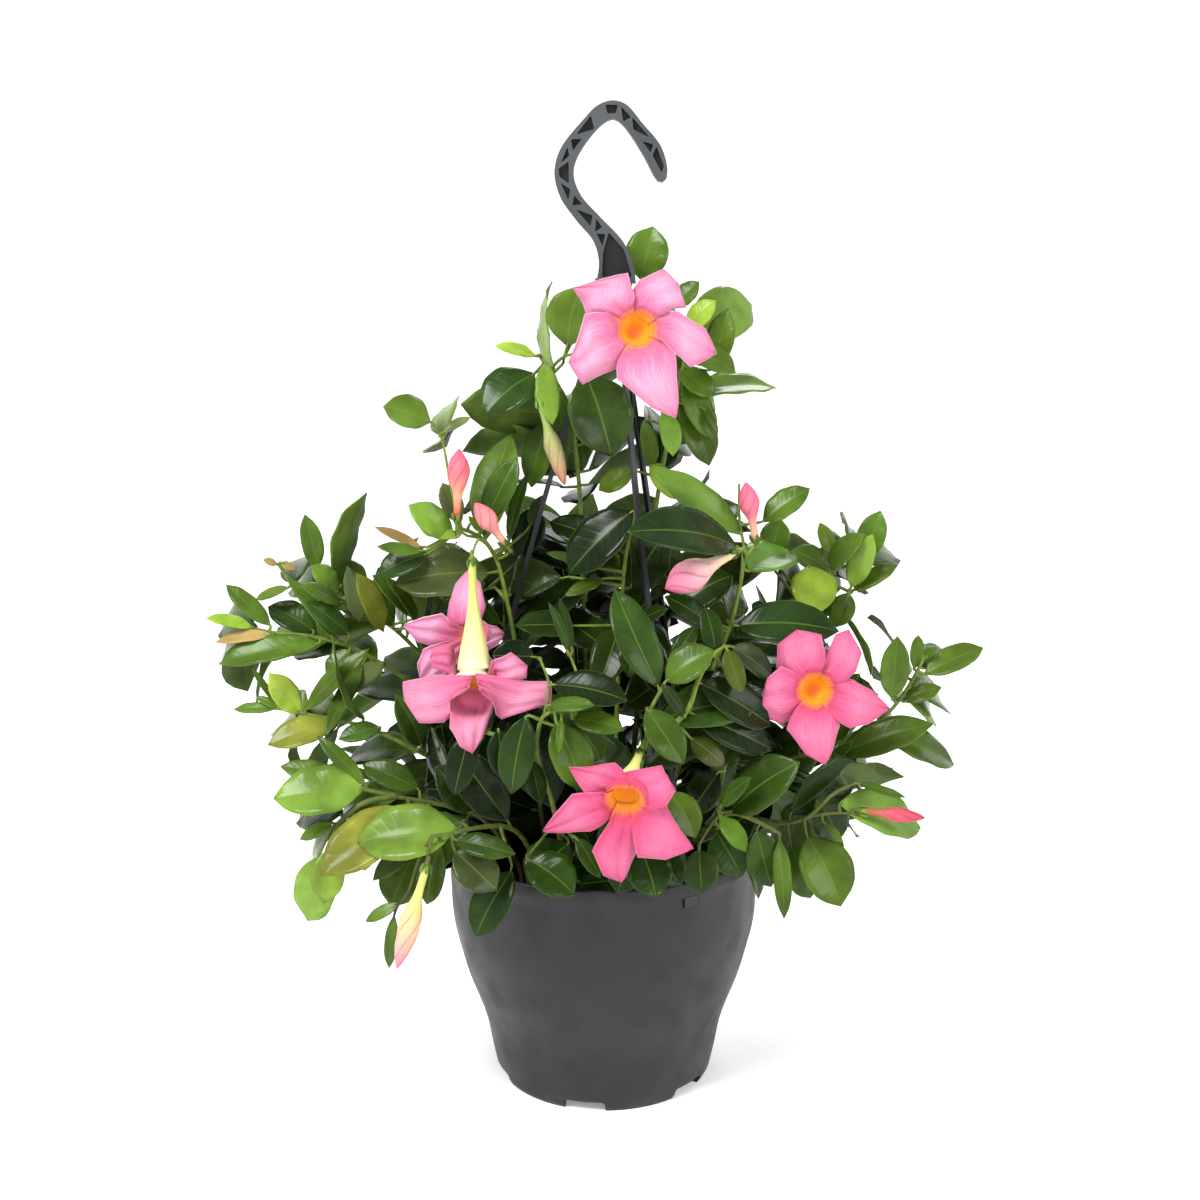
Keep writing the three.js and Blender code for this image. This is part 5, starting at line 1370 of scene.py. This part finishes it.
def petalShape(bm, bloom, petal):
    form = petalForm
    rim, inside, join, crisp = form["rim"], form["inside"], form["join"], form["crisp"]
    crease, ruffle, folds, back = form["crease"], form["ruffle"], form["folds"], form["back"]
    narrows, sinks = rim["down"]
    widens, rises = rim["out"]
    radius = bloom["radius"]
    mouth = seen(bloom["throat"])
    face = unit(np.array(bloom["facing"]))
    mouthX, mouthHeight, depth = bloom["throat"]
    edge = petal["edge"]
    farthest = max(math.hypot(p[0] - mouthX, p[1] - mouthHeight) for p in edge)

    def drawn(point, twist):
        x, height, *ahead = point
        share = max(0, math.hypot(x - mouthX, height - mouthHeight) - radius) / (farthest - radius)
        away = (ahead[0] if ahead else 0) + petal["reach"] * share + twist * min(1, 2 * share)
        return seen((x, height, depth + away))

    def onRim(point, share, under):
        return mouth + unit(squared(point - mouth, face)) * radius * share - face * under

    left = [drawn(p, form["twist"]) for p in edge[:3]]
    right = [drawn(p, -form["twist"]) for p in edge[4:]]
    tip = drawn(edge[3], 0)
    ends = [onRim(side, rim["share"], rim["under"]) for side in (left[0], right[-1])]
    line = SmoothPath([ends[0], *left, tip, *right, ends[1]])
    normal = np.cross(line.at(0.75) - line.at(0.25), tip - mouth)
    normal = unit(normal) * (1 if np.dot(normal, face) > 0 else -1)
    wave = chance.random() * 6

    def outline(t):
        return line.at(t) * (1 - crisp) + straightAt(line.points, t) * crisp

    def spanned(s, side):
        # across the petal from one edge to the other; its lower half lies over its neighbours
        a, b = outline(s / 2), outline(1 - s / 2)
        wider = 1 + form["wider"] * (1 - smoothStep(0.1, 0.62, s))
        return (a + b) / 2 + (b - a) / 2 * side * wider, np.linalg.norm(b - a)

    def lifted(s, side, width):
        # how far the surface stands off its outline
        rise = -form["curl"] * width * side**2 * min(1, 2.5 * s)
        rise -= crease["depth"] * math.exp(-(side * crease["narrow"]) ** 2) * min(1, 3 * s)
        beat = math.sin(ruffle["waves"] * s + wave + (ruffle["lag"] if side > 0 else 0))
        rise += ruffle["height"] * abs(side) ** 2.5 * beat * s * (1.3 - s)
        rise += folds["height"] * math.cos(folds["waves"] * side + wave) * 4 * s * (1 - s)
        rise -= back["height"] * max(0, s - back["from"]) ** 2 / 0.2
        return rise + form["arch"] * width

    def place(u, v):
        s = (v - inside) / (1 - inside)
        side = 2 * u - 1
        spot, width = spanned(max(s, 0), side)
        layer = face * form["layer"] * side * (1 - smoothStep(0.2, 0.7, s))
        if s < 0:
            down = -s * (1 - inside) / inside
            return onRim(spot, rim["share"] - narrows * down, rim["under"] + sinks * down) + layer
        near = max(0, 1 - s / join) ** 2
        spot = spot + (onRim(spot, rim["share"] + widens * s, rim["under"] - rises * s) - spot) * near + layer
        # each row stays outside the one before
        flat = squared(spot - mouth, face)
        least = radius * (rim["share"] + widens * min(s, join))
        spot = spot + unit(flat) * max(0, least - np.linalg.norm(flat)) * (1 - smoothStep(join, 0.6, s))
        return spot + normal * lifted(s, side, width) * (1 - near)

    verts, faces = gridShape(bm, *form["grid"], place)
    # each bloom's depth of pink with its painted light and shade
    layer = bm.verts.layers.float_color["toneAndPaintedLight"]
    for vert in verts:
        vert[layer] = (*bloomLook["depth"][bloom["name"]], 1)
    for made in faces:
        made.normal_update()
    if sum(np.dot(made.normal, face) for made in faces) < 0:
        bmesh.ops.reverse_faces(bm, faces=faces)


def funnelShape(bm, bloom):
    # a tube along a bend from the calyx to the mouth, and back down inside it
    form = funnelForm
    start = seen(bloom["calyx"])
    mouth = seen(bloom["throat"])
    start = start + unit(mouth - start) * 0.3
    radius = bloom["radius"]
    bend = min(form["bend"]["share"] * np.linalg.norm(mouth - start), form["bend"]["most"])
    middle = mouth - unit(np.array(bloom["facing"])) * bend
    long = SmoothPath([start, (start + middle) / 2, (start + 2 * middle + mouth) / 4, mouth]).length
    deep, narrow = form["end"]
    foot = [(long * share, r) for share, r in form["foot"]]
    bell = [(long * share, radius * wide) for share, wide in form["bell"]]
    lip = [(long - depth, radius * wide) for depth, wide in form["lip"]]
    spots = SmoothPath([*foot, *bell, *lip, (long - deep, narrow)])

    def place(u, v):
        reach, r = spots.at(v)
        share = max(0, min(1, reach / long))
        spot = start * (1 - share) ** 2 + middle * 2 * share * (1 - share) + mouth * share**2
        axis = unit((middle - start) * (1 - share) + (mouth - middle) * share)
        out = turned(acrossOf(axis), axis, 2 * math.pi * u)
        return spot + out * (max(0.0, r) if 0.001 < v < 0.999 else 0)

    return gridShape(bm, *form["grid"], place, closed=True)[1]


def growBlooms():
    look = bloomLook
    upper = [(0.0, "throat"), (0.09, "throat"), (0.18, "glow"), (0.24, "warm"), (0.33, "shade"),
             (0.48, "pink"), (0.68, "pale"), (1.0, "pink")]
    lower = [(0.0, "glow"), (0.17, "glow"), (0.24, "pale"), (0.4, "pink"), (1.0, "pink")]
    skins = [petalMaterial(name, [(spot, look[tone]) for spot, tone in stops])
             for name, stops in (("pinkPetal", upper), ("petalBack", lower))]
    skins.append(funnelMaterial())
    for bloom in blooms:
        bm = newBody()
        for petal in bloom["petals"]:
            petalShape(bm, bloom, petal)
        for face in thicken(bm, petalForm["thickness"]):
            face.material_index = 1
        for face in funnelShape(bm, bloom):
            face.material_index = 2
        settle(meshPiece(bloom["name"] + "Open", bm, skins), [bloom["name"]])
    print("blooms open:", len(blooms))


budLook = {
    "bud_left_upright": [(0.0, (0.22, 0.02, 0.012)), (0.2, (0.36, 0.04, 0.02)), (0.32, (0.70, 0.30, 0.17)),
                         (0.5, (0.68, 0.13, 0.16)), (1.0, (0.60, 0.09, 0.15))],
    "bud_left_leaning": [(0.0, (0.40, 0.24, 0.10)), (0.25, (0.66, 0.32, 0.22)), (0.5, (0.68, 0.22, 0.22)),
                         (1.0, (0.55, 0.11, 0.13))],
    "bud_right_fat": [(0.0, (0.50, 0.42, 0.09)), (0.2, (0.70, 0.58, 0.28)), (0.42, (0.74, 0.42, 0.42)),
                      (0.66, (0.72, 0.24, 0.35)), (1.0, (0.56, 0.08, 0.19))],
    "bud_right_upright": [(0.0, (0.26, 0.32, 0.06)), (0.22, (0.66, 0.38, 0.20)), (0.42, (0.66, 0.15, 0.22)),
                          (1.0, (0.55, 0.07, 0.16))],
    "bud_hanging": [(0.0, (0.36, 0.42, 0.07)), (0.32, (0.60, 0.55, 0.16)), (0.56, (0.70, 0.44, 0.26)),
                    (0.76, (0.70, 0.26, 0.28)), (1.0, (0.60, 0.13, 0.22))],
    "bud_right_long": [(0.0, (0.16, 0.16, 0.04)), (0.25, (0.34, 0.10, 0.05)), (0.5, (0.52, 0.07, 0.10)),
                       (1.0, (0.34, 0.025, 0.06))],
    "bud_faded": [(0.0, (0.12, 0.22, 0.025)), (0.3, (0.24, 0.32, 0.08)), (0.6, (0.36, 0.30, 0.13)),
                  (0.82, (0.46, 0.20, 0.14)), (1.0, (0.36, 0.09, 0.08))],
}
# under each pleat's edge the colour is darkened by painted shade
budForm = {"grid": (25, 26), "petals": 5, "lobe": 0.10, "twist": 4.2, "pleatShade": (0.62, 0.36, 0.40), "scale": 30}


def budMaterial(name, stops):
    # pleats of the rolled petals wind round the bud; painted shade darkens each pleat where the edge of the
    # one before stands over it
    material, tree, shader = newMaterial(name, {"Roughness": 0.5, "Specular IOR Level": 0.3})
    u, v = ownMap(tree)
    body = ramp(tree, v, stops)
    pleat = calc(tree, "FRACT", product(tree, u, float(budForm["petals"])))
    pleatShade = product(tree, between(tree, pleat, 0.28, 0.0), between(tree, v, 0.3, 0.5, 0, 0.75))
    dark = blend(tree, 1.0, body, (*budForm["pleatShade"], 1), "MULTIPLY")
    fine = between(tree, noise(tree, 25.0, 4.0, (6, 1, 1), "UV"), 0.3, 0.7, 0.82, 1.12)
    tree.links.new(shaded(tree, blend(tree, pleatShade, body, dark), fine), shader.inputs["Base Color"])
    relief(tree, shader, noise(tree, 20.0, 3.0, (8, 1, 1), "UV"), 0.3, 0.0004)
    return material


def budShape(bm, bud):
    form = budForm
    start, end = seen(bud["base"]), seen(bud["tip"])
    axis = unit(end - start)
    start = start + axis * 0.3
    radius, fullest = bud["radius"], bud["fullest"]
    profile = [(0, 0.05), (0, 1.5), (fullest * 0.55, max(2, radius * 0.42)), (fullest, radius),
               ((fullest + 1) / 2, radius * 0.84), (0.93, radius * 0.38), (1, 0.05)]
    spots = SmoothPath([(share * form["scale"], r) for share, r in profile])
    across = acrossOf(axis)

    def place(u, v):
        share, r = spots.at(v) / (form["scale"], 1)
        lobe = (form["petals"] * u) % 1
        r *= 1 + form["lobe"] * (lobe - 0.5) * min(1, 4 * share) * (0 if u > 0.999 or u < 0.001 else 1)
        out = turned(across, axis, 2 * math.pi * u + form["twist"] * share)
        return start + (end - start) * share + out * (r if 0.001 < v < 0.999 else 0)

    gridShape(bm, *form["grid"], place, closed=True)


def growBuds():
    for bud in buds:
        name = bud["name"]
        bm = newBody()
        budShape(bm, bud)
        piece = meshPiece(name + "Closed", bm, [budMaterial(name + "Skin", budLook[name])])
        settle(piece, [name])
    print("buds closed:", len(buds))


potShape = {
    "height": 140,
    "rim": 90,
    "band": 8.5,
    "foot": 61,
    "footRing": 3.5,
    "floor": 7,
    "floorTop": 9,
    "outside": [(62.7, 3), (65.5, 16), (68.7, 33), (73.7, 48), (78.9, 62), (83.5, 79), (86.8, 94),
                (88.6, 131.5)],
    "inside": [(86.8, 131.5), (85, 94), (77.2, 62), (64, 18)],
    "notches": {"count": 6, "first": -10, "width": 23, "height": 6, "round": 2.2},
    "drains": {"radius": 4, "at": 46},
    "slot": {"width": 8.6, "bottom": 126.2, "top": 132.3},
    "cutDepth": 14,
    "ease": 0.35,
    "steps": 144,
}
plasticLook = {
    "pot": {"colour": (0.0125, 0.0125, 0.0127), "lines": 0.25},
    "hanger": {"colour": (0.048, 0.052, 0.055), "lines": 0.05},
    # the pocket and leg plastics are the hanger's own plastic painted darker: painted shade in the pockets of
    # the hook and on its thin legs
    "pocket": {"colour": (0.009, 0.009, 0.010), "lines": 0.05},
    "leg": {"colour": (0.024, 0.026, 0.029), "lines": 0.05},
}


def scuffGroup():
    # fine turning lines, faint mottling and worn spots, all from a piece's own place
    tree, takes, gives = newGroup("plasticWear", {"Colour": "Color", "Lines": "Float"},
                                  {"Colour": "Color", "Rough": "Float", "Height": "Float"})
    mottle = noise(tree, 25.0, 4.0)
    lines = noise(tree, 3.0, 2.0, (0.2, 0.2, 220))
    grain = noise(tree, 1800.0, 1.0)
    light = calc(tree, "ADD", between(tree, mottle, 0.3, 0.7, 0.9, 1.12),
                 product(tree, calc(tree, "SUBTRACT", lines, 0.5), takes["Lines"]))
    tree.links.new(shaded(tree, takes["Colour"], light), gives["Colour"])
    tree.links.new(between(tree, noise(tree, 60.0, 5.0), 0.3, 0.75, 0.42, 0.6), gives["Rough"])
    tall = calc(tree, "ADD", product(tree, lines, takes["Lines"]), product(tree, grain, 0.3))
    tree.links.new(tall, gives["Height"])
    return tree


def plastic(kind, wear):
    look = plasticLook[kind]
    material, tree, shader = newMaterial(kind + "Plastic", {"Specular IOR Level": 0.3})
    worn = useGroup(tree, wear, {"Colour": (*look["colour"], 1), "Lines": look["lines"]})
    tree.links.new(worn["Colour"], shader.inputs["Base Color"])
    tree.links.new(worn["Rough"], shader.inputs["Roughness"])
    relief(tree, shader, worn["Height"], 0.15, 0.0003)
    return material


def addBox(bm, size, centre, angle=0.0):
    place = Matrix.Rotation(angle * turn, 4, "Z") @ Matrix.Translation(centre) @ Matrix.Diagonal((*size, 1))
    return bmesh.ops.create_cube(bm, size=1, matrix=place)["verts"]


def addDisc(bm, segments, radius, depth, place):
    made = bmesh.ops.create_cone(bm, cap_ends=True, segments=segments, radius1=radius, radius2=radius,
                                 depth=depth, matrix=place)
    return made["verts"]


def roundEdges(bm, edges, offset, segments):
    bmesh.ops.bevel(bm, geom=edges, offset=offset, segments=segments, profile=0.5, affect="EDGES",
                    material=-1)


def cutBy(piece, bm):
    # subtracts the closed shapes of a bmesh, in millimetres
    cutter = meshPiece("cutter", bm, [], smooth=False)
    cut = piece.modifiers.new("cut", "BOOLEAN")
    cut.operation = "DIFFERENCE"
    cut.solver = "EXACT"
    cut.object = cutter
    applyModifiers(piece)
    bpy.data.objects.remove(cutter)


def easeEdges(piece, width, segments, angle=35):
    ease = piece.modifiers.new("ease", "BEVEL")
    ease.width = width * mm
    ease.segments = segments
    ease.limit_method = "ANGLE"
    ease.angle_limit = angle * turn
    ease.use_clamp_overlap = True
    applyModifiers(piece)


def smoothSide(rings, step):
    # a spline through rings of (radius, height)
    return [(p[0], p[2]) for p in SmoothPath([(r, 0, z) for r, z in rings]).spaced(step)]


def lathed(profile, steps):
    bm = bmesh.new()
    verts = [bm.verts.new((r, 0, z)) for r, z in profile]
    edges = [bm.edges.new(pair) for pair in zip(verts, verts[1:])]
    bmesh.ops.spin(bm, geom=verts + edges, cent=(0, 0, 0), axis=(0, 0, 1), angle=2 * math.pi, steps=steps,
                   use_merge=True, use_duplicate=False)
    bmesh.ops.remove_doubles(bm, verts=bm.verts[:], dist=0.01)
    bmesh.ops.recalc_face_normals(bm, faces=bm.faces[:])
    return bm


def potProfile():
    # from the middle of the floor's underside up the outside, over the rim and down the inside
    shape = potShape
    height, rim, band, floor = shape["height"], shape["rim"], shape["band"], shape["floor"]
    foot, ringInside = shape["foot"], shape["foot"] - shape["footRing"]
    return [
        (0, floor), (ringInside, floor), (ringInside, 0), (foot, 0), *smoothSide(shape["outside"], 6),
        (rim - 0.3, height - band + 0.6), (rim, height - band + 1.4), (rim, height - 0.8),
        (rim - 0.7, height), (rim - 1.9, height), (rim - 2.4, height - 0.6),
        *smoothSide(shape["inside"], 10), (63, shape["floorTop"]), (0, shape["floorTop"]),
    ]


def potCuts():
    # the notches of the foot, the drain holes, and the slots for the hanger's barbs
    shape = potShape
    notches, drains, slot, deep = shape["notches"], shape["drains"], shape["slot"], shape["cutDepth"]
    bm = bmesh.new()
    for k in range(notches["count"]):
        angle = notches["first"] + 360 / notches["count"] * k
        verts = addBox(bm, (notches["width"], deep, 2 * notches["height"]), (0, -shape["foot"], 0), angle)
        # the two edges along the top of the notch, which run inward
        edges = list({e for v in verts for e in v.link_edges
                      if e.verts[0].co.z > 0 and e.verts[1].co.z > 0
                      and abs(e.verts[0].co.xy.length - e.verts[1].co.xy.length) > 1})
        roundEdges(bm, edges, notches["round"], 4)
        place = Matrix.Rotation(angle * turn, 4, "Z") @ Matrix.Translation((0, -drains["at"], 8))
        addDisc(bm, 24, drains["radius"], 6, place)
    for leg in hangerShape["legs"]:
        addBox(bm, (slot["width"], deep, slot["top"] - slot["bottom"]),
               (0, -shape["rim"], (slot["top"] + slot["bottom"]) / 2), leg["turn"])
    return bm


def makePot(wear):
    pot = meshPiece("hangingPot", lathed(potProfile(), potShape["steps"]), [plastic("pot", wear)])
    cutBy(pot, potCuts())
    easeEdges(pot, potShape["ease"], 1)
    settle(pot, ["pot"])
    print("pot made")


soilShape = {
    "top": 119,
    "floor": 9.4,
    "gap": 0.6,
    "steps": 72,
    "reach": 84,
    "sunk": 0.5,
    "uneven": (-1.6, 0.7),
    "crumbs": {"count": 900, "size": (0.7, 2.1), "wide": (0.6, 1), "tall": (0.4, 0.8)},
    "colours": [(0.3, (0.010, 0.006, 0.004)), (0.5, (0.034, 0.021, 0.013)), (0.72, (0.085, 0.055, 0.034))],
    "seed": 5,
}


def makeSoil():
    shape = soilShape
    top, level, crumbs = shape["top"], shape["top"] - shape["sunk"], shape["crumbs"]
    material, tree, shader = newMaterial("pottingSoil", {"Roughness": 0.95, "Specular IOR Level": 0.15})
    tree.links.new(ramp(tree, noise(tree, 220.0, 6.0), shape["colours"]), shader.inputs["Base Color"])
    relief(tree, shader, noise(tree, 500.0, 5.0), 0.8, 0.001)
    wall = [(r - shape["gap"], z) for r, z in reversed(potShape["inside"]) if z < top]
    bm = lathed([(0, shape["floor"]), (wall[0][0] - 1, shape["floor"]), *wall, (wall[-1][0] + 0.8, level),
                 *[(r, level) for r in range(80, 0, -5)], (0, level)], shape["steps"])
    scatter = random.Random(shape["seed"])
    for vert in bm.verts:
        if vert.co.z > top - 2 and vert.co.xy.length < shape["reach"]:
            vert.co.z += scatter.uniform(*shape["uneven"])
    for _ in range(crumbs["count"]):
        angle = scatter.uniform(0, 2 * math.pi)
        reach = shape["reach"] * math.sqrt(scatter.random())
        size = scatter.uniform(*crumbs["size"])
        spot = Matrix.Translation((reach * math.cos(angle), reach * math.sin(angle), top - 0.6 + size * 0.2))
        tilt = Matrix.Rotation(scatter.uniform(0, 3), 4, "X") @ Matrix.Rotation(scatter.uniform(0, 3), 4, "Z")
        wide, tall = size * scatter.uniform(*crumbs["wide"]), size * scatter.uniform(*crumbs["tall"])
        place = spot @ tilt @ Matrix.Diagonal((size, wide, tall, 1))
        bmesh.ops.create_icosphere(bm, subdivisions=1, radius=1, matrix=place)
    settle(meshPiece("pottingSoilFill", bm, [material], smooth=False), ["soil"])
    print("soil filled")


hangerShape = {
    "hub": {"x": 5, "radius": 10, "bottom": 442, "top": 453, "round": 0.8},
    "thickness": 8.5,
    "web": 2.5,
    "legs": [{"turn": -88, "bow": 4}, {"turn": 31, "bow": -5}, {"turn": 142, "bow": 2}],
    "legSize": {"width": 2.6, "depth": 2.7, "wall": 0.8, "channel": 1.4, "steps": 40},
    "legFoot": {"radius": 83, "bottom": 122, "bend": 14},
    "barb": {"width": 8, "bottom": 126.5, "top": 132, "reach": 89.6, "plate": (2, 3)},
    # the hook's outline and its pockets, each point across and up
    "left": [(-4.3, 450), (-2.8, 461), (-5.6, 472), (-14.8, 483), (-23.3, 495), (-26.3, 507), (-23.3, 519),
             (-10.6, 534.7), (-3.5, 541.5), (4.3, 544), (11.4, 542), (19.9, 532.7), (29.9, 520.8),
             (33.4, 509.5), (33, 504.5)],
    "tip": [(31, 502.7), (28.4, 503.3)],
    "right": [(26.3, 506), (19.9, 517.7), (8.6, 533), (4.3, 534.9), (-2.1, 531.3), (-13.4, 517),
              (-16.2, 507.5), (-12.7, 496.5), (-2.8, 485.4), (10.4, 471.5), (15.7, 459), (17.1, 450)],
    "pockets": [
        [(15.4, 534.2), (22.6, 526.2), (15.8, 529.4)], [(20.8, 522.8), (25.4, 521.4), (24.2, 518.2)],
        [(27.8, 519.2), (26.1, 515.8), (30, 508.7), (31, 511.2)],
        [(9.3, 539.9), (13.4, 535.6), (10.2, 533.9)],
        [(1.2, 541.2), (6.4, 541.2), (5.6, 537.8), (2.2, 537.8)],
        [(-7.4, 535.2), (-5.9, 529.8), (-13.4, 527.6)],
        [(-17, 523.9), (-12.5, 524.1), (-16.2, 519.4)], [(-19.6, 519.4), (-18.8, 516), (-22.3, 513)],
        [(-19.3, 511.8), (-23.5, 509), (-23.2, 505.8), (-19.2, 503)],
        [(-22.3, 501.3), (-18.3, 498.6), (-19.2, 494.4)], [(-15.6, 495), (-12.3, 491.4), (-16.4, 491)],
        [(-13.6, 487.6), (-6.8, 485.2), (-7.7, 480.8)], [(-4, 483), (-1.6, 479.4), (-4.6, 477.6)],
        [(-3.6, 475.6), (0.2, 475.4), (-1, 470.6)],
        [(3, 474), (0.6, 466), (0.2, 455.5), (12.9, 455.5), (9.4, 467)],
    ],
    "pocketGrowth": 1.25,
    "pocketRound": 0.7,
    "ease": {"width": 0.3, "segments": 2, "angle": 50},
}


def slab(bm, outline, front, back, rounding=0.0):
    # a flat shape in the XZ plane, pulled from one depth to another
    face = bm.faces.new([bm.verts.new((x, front, z)) for x, z in outline])
    if rounding:
        eased = bmesh.ops.bevel(bm, geom=list(face.verts), offset=rounding, segments=3, profile=0.5,
                                affect="VERTICES", material=-1)["verts"]
        face = eased[0].link_faces[0]
    pulled = bmesh.ops.extrude_face_region(bm, geom=[face])["geom"]
    verts = [made for made in pulled if isinstance(made, bmesh.types.BMVert)]
    bmesh.ops.translate(bm, verts=verts, vec=(0, back - front, 0))


def extruded(bm, sections):
    # a solid through closed sections of one shape, each a list of points; returns its corners
    face = bm.faces.new([bm.verts.new(spot) for spot in sections[0]])
    ring = list(face.verts)
    corners = ring[:]
    for k, spots in enumerate(sections[1:]):
        made = bmesh.ops.extrude_face_region(bm, geom=[face])["geom"]
        end = next(part for part in made if isinstance(part, bmesh.types.BMFace))
        ring = [next(e.other_vert(v) for e in v.link_edges if e.other_vert(v) in end.verts) for v in ring]
        for vert, spot in zip(ring, spots):
            vert.co = spot
        corners += ring
        # the first section stays as the cap at the start
        if k:
            bmesh.ops.delete(bm, geom=[face], context="FACES_ONLY")
        face = end
    return corners


def legShape(bm, leg):
    # a channelled leg from the hub to the pot, and its barb
    shape = hangerShape
    hub, foot, barb, size = shape["hub"], shape["legFoot"], shape["barb"], shape["legSize"]
    end = np.array((math.sin(leg["turn"] * turn), -math.cos(leg["turn"] * turn), 0)) * foot["radius"]
    run = math.hypot(end[0] - hub["x"], end[1])
    start = np.array((4, 0, hub["bottom"] + 3))
    low = np.array((run, 0, foot["bottom"] + foot["bend"]))
    middle = start + (low - start) * 0.45 + (leg["bow"], 0, 0)
    path = SmoothPath([start, middle, low, (run, 0, foot["bottom"])])
    w, d = size["width"] / 2, size["depth"] / 2
    inner, floor = w - size["wall"], d - size["channel"]
    section = [(-w, -d), (w, -d), (w, d), (inner, d), (inner, floor), (-inner, floor), (-inner, d), (-w, d)]
    side = np.array((0, -1, 0))
    sections = []
    for k in range(size["steps"] + 1):
        at = path.point(k / size["steps"])
        inward = np.cross(path.heading(k / size["steps"]), side)
        sections.append([at + side * x + inward * y for x, y in section])
    heading = math.atan2(end[1], end[0] - hub["x"])
    place = Matrix.Translation((hub["x"], 0, 0)) @ Matrix.Rotation(heading, 4, "Z")
    bmesh.ops.transform(bm, matrix=place, verts=extruded(bm, sections))
    out = barb["reach"] - foot["radius"]
    tall = barb["top"] - barb["bottom"]
    height = (barb["top"] + barb["bottom"]) / 2
    thick, taller = barb["plate"]
    addBox(bm, (barb["width"], out, tall), (0, -foot["radius"] - out / 2, height), leg["turn"])
    addBox(bm, (barb["width"], thick, tall + taller), (0, -foot["radius"] + 0.2, height), leg["turn"])


def hookShape(materials):
    # the flat hook with its pockets cut from both sides, as a bmesh
    shape = hangerShape
    half, web = shape["thickness"] / 2, shape["web"] / 2
    bm = bmesh.new()
    outline = SmoothPath(shape["left"]).spaced(2) + shape["tip"] + SmoothPath(shape["right"]).spaced(2)
    slab(bm, outline, -half, half)
    bmesh.ops.recalc_face_normals(bm, faces=bm.faces[:])
    hook = meshPiece("hangingHook", bm, materials, smooth=False)
    cuts = bmesh.new()
    for pocket in shape["pockets"]:
        middle = np.mean(pocket, axis=0)
        grown = [middle + (np.array(corner) - middle) * shape["pocketGrowth"] for corner in pocket]
        for front, back in ((-half - 1, -web), (web, half + 1)):
            slab(cuts, grown, front, back, shape["pocketRound"])
    bmesh.ops.recalc_face_normals(cuts, faces=cuts.faces[:])
    # the pocket walls take the darker plastic as painted shade
    for face in cuts.faces:
        face.material_index = 1
    cutBy(hook, cuts)
    easeEdges(hook, **shape["ease"])
    bm = bmesh.new()
    bm.from_mesh(hook.data)
    bpy.data.objects.remove(hook)
    bm.transform(Matrix.Scale(1 / mm, 4))
    return bm


def makeHanger(wear):
    materials = [plastic(kind, wear) for kind in ("hanger", "pocket", "leg")]
    bm = hookShape(materials[:2])
    hub = hangerShape["hub"]
    place = Matrix.Translation((hub["x"], 0, (hub["top"] + hub["bottom"]) / 2))
    made = addDisc(bm, 48, hub["radius"], hub["top"] - hub["bottom"], place)
    edges = list({e for v in made for e in v.link_edges if abs(e.verts[0].co.z - e.verts[1].co.z) < 0.01})
    roundEdges(bm, edges, hub["round"], 3)
    hookFaces = len(bm.faces)
    for leg in hangerShape["legs"]:
        legShape(bm, leg)
    bm.faces.ensure_lookup_table()
    # the legs take the darker leg plastic as painted shade
    for face in bm.faces[hookFaces:]:
        face.material_index = 2
    settle(meshPiece("clipHanger", bm, materials, smooth=False), ["hanger"])
    print("hanger made")


stageLook = {
    "lens": 45.9,
    "sensor": 36,
    "tilt": 11,
    "world": 0.8,
    "floor": {"Base Color": (0.95, 0.95, 0.95, 1), "Roughness": 0.9, "Emission Color": (1, 1, 1, 1),
              "Emission Strength": 0.2},
    # the floor rises to a low wall all round, so that no edge of it shows
    "bowl": [(1500, 0), (2100, 20), (2700, 180), (3200, 600), (3500, 1200), (3600, 1900)],
    "aim": (0, 0, 0.25),
    "lights": [
        {"name": "keyLight", "at": (-0.8, -0.9, 1.5), "size": 0.6, "power": 34},
        {"name": "fillLight", "at": (1.3, -0.9, 0.9), "size": 0.8, "power": 12},
        {"name": "backLight", "at": (0.2, 1.2, 1.4), "size": 0.8, "power": 12},
    ],
}


def buildStage():
    stage = stageLook
    bowl = lathed([(0, 0)] + smoothSide(stage["bowl"], 120), 96)
    meshPiece("paleFloor", bowl, [newMaterial("paleFloor", stage["floor"])[0]])
    world = bpy.data.worlds.new("softRoom")
    world.use_nodes = True
    colour, strength = world.node_tree.nodes["Background"].inputs[:2]
    colour.default_value = (1, 1, 1, 1)
    strength.default_value = stage["world"]
    scene.world = world
    for look in stage["lights"]:
        data = bpy.data.lights.new(look["name"], "AREA")
        data.size = look["size"]
        data.energy = look["power"]
        lamp = bpy.data.objects.new(look["name"], data)
        lamp.location = look["at"]
        lamp.rotation_euler = (Vector(stage["aim"]) - lamp.location).to_track_quat("-Z", "Y").to_euler()
        scene.collection.objects.link(lamp)
    data = bpy.data.cameras.new("frontEye")
    data.lens = stage["lens"]
    data.sensor_width = stage["sensor"]
    camera = bpy.data.objects.new("frontEye", data)
    camera.location = [c * mm for c in eye]
    camera.rotation_euler = ((90 - stage["tilt"]) * turn, 0, 0)
    scene.collection.objects.link(camera)
    scene.camera = camera
    scene.view_settings.view_transform = "Standard"
    print("stage built")


buildStage()
wear = scuffGroup()
makePot(wear)
makeSoil()
makeHanger(wear)
growBlooms()
growBuds()
growVines()
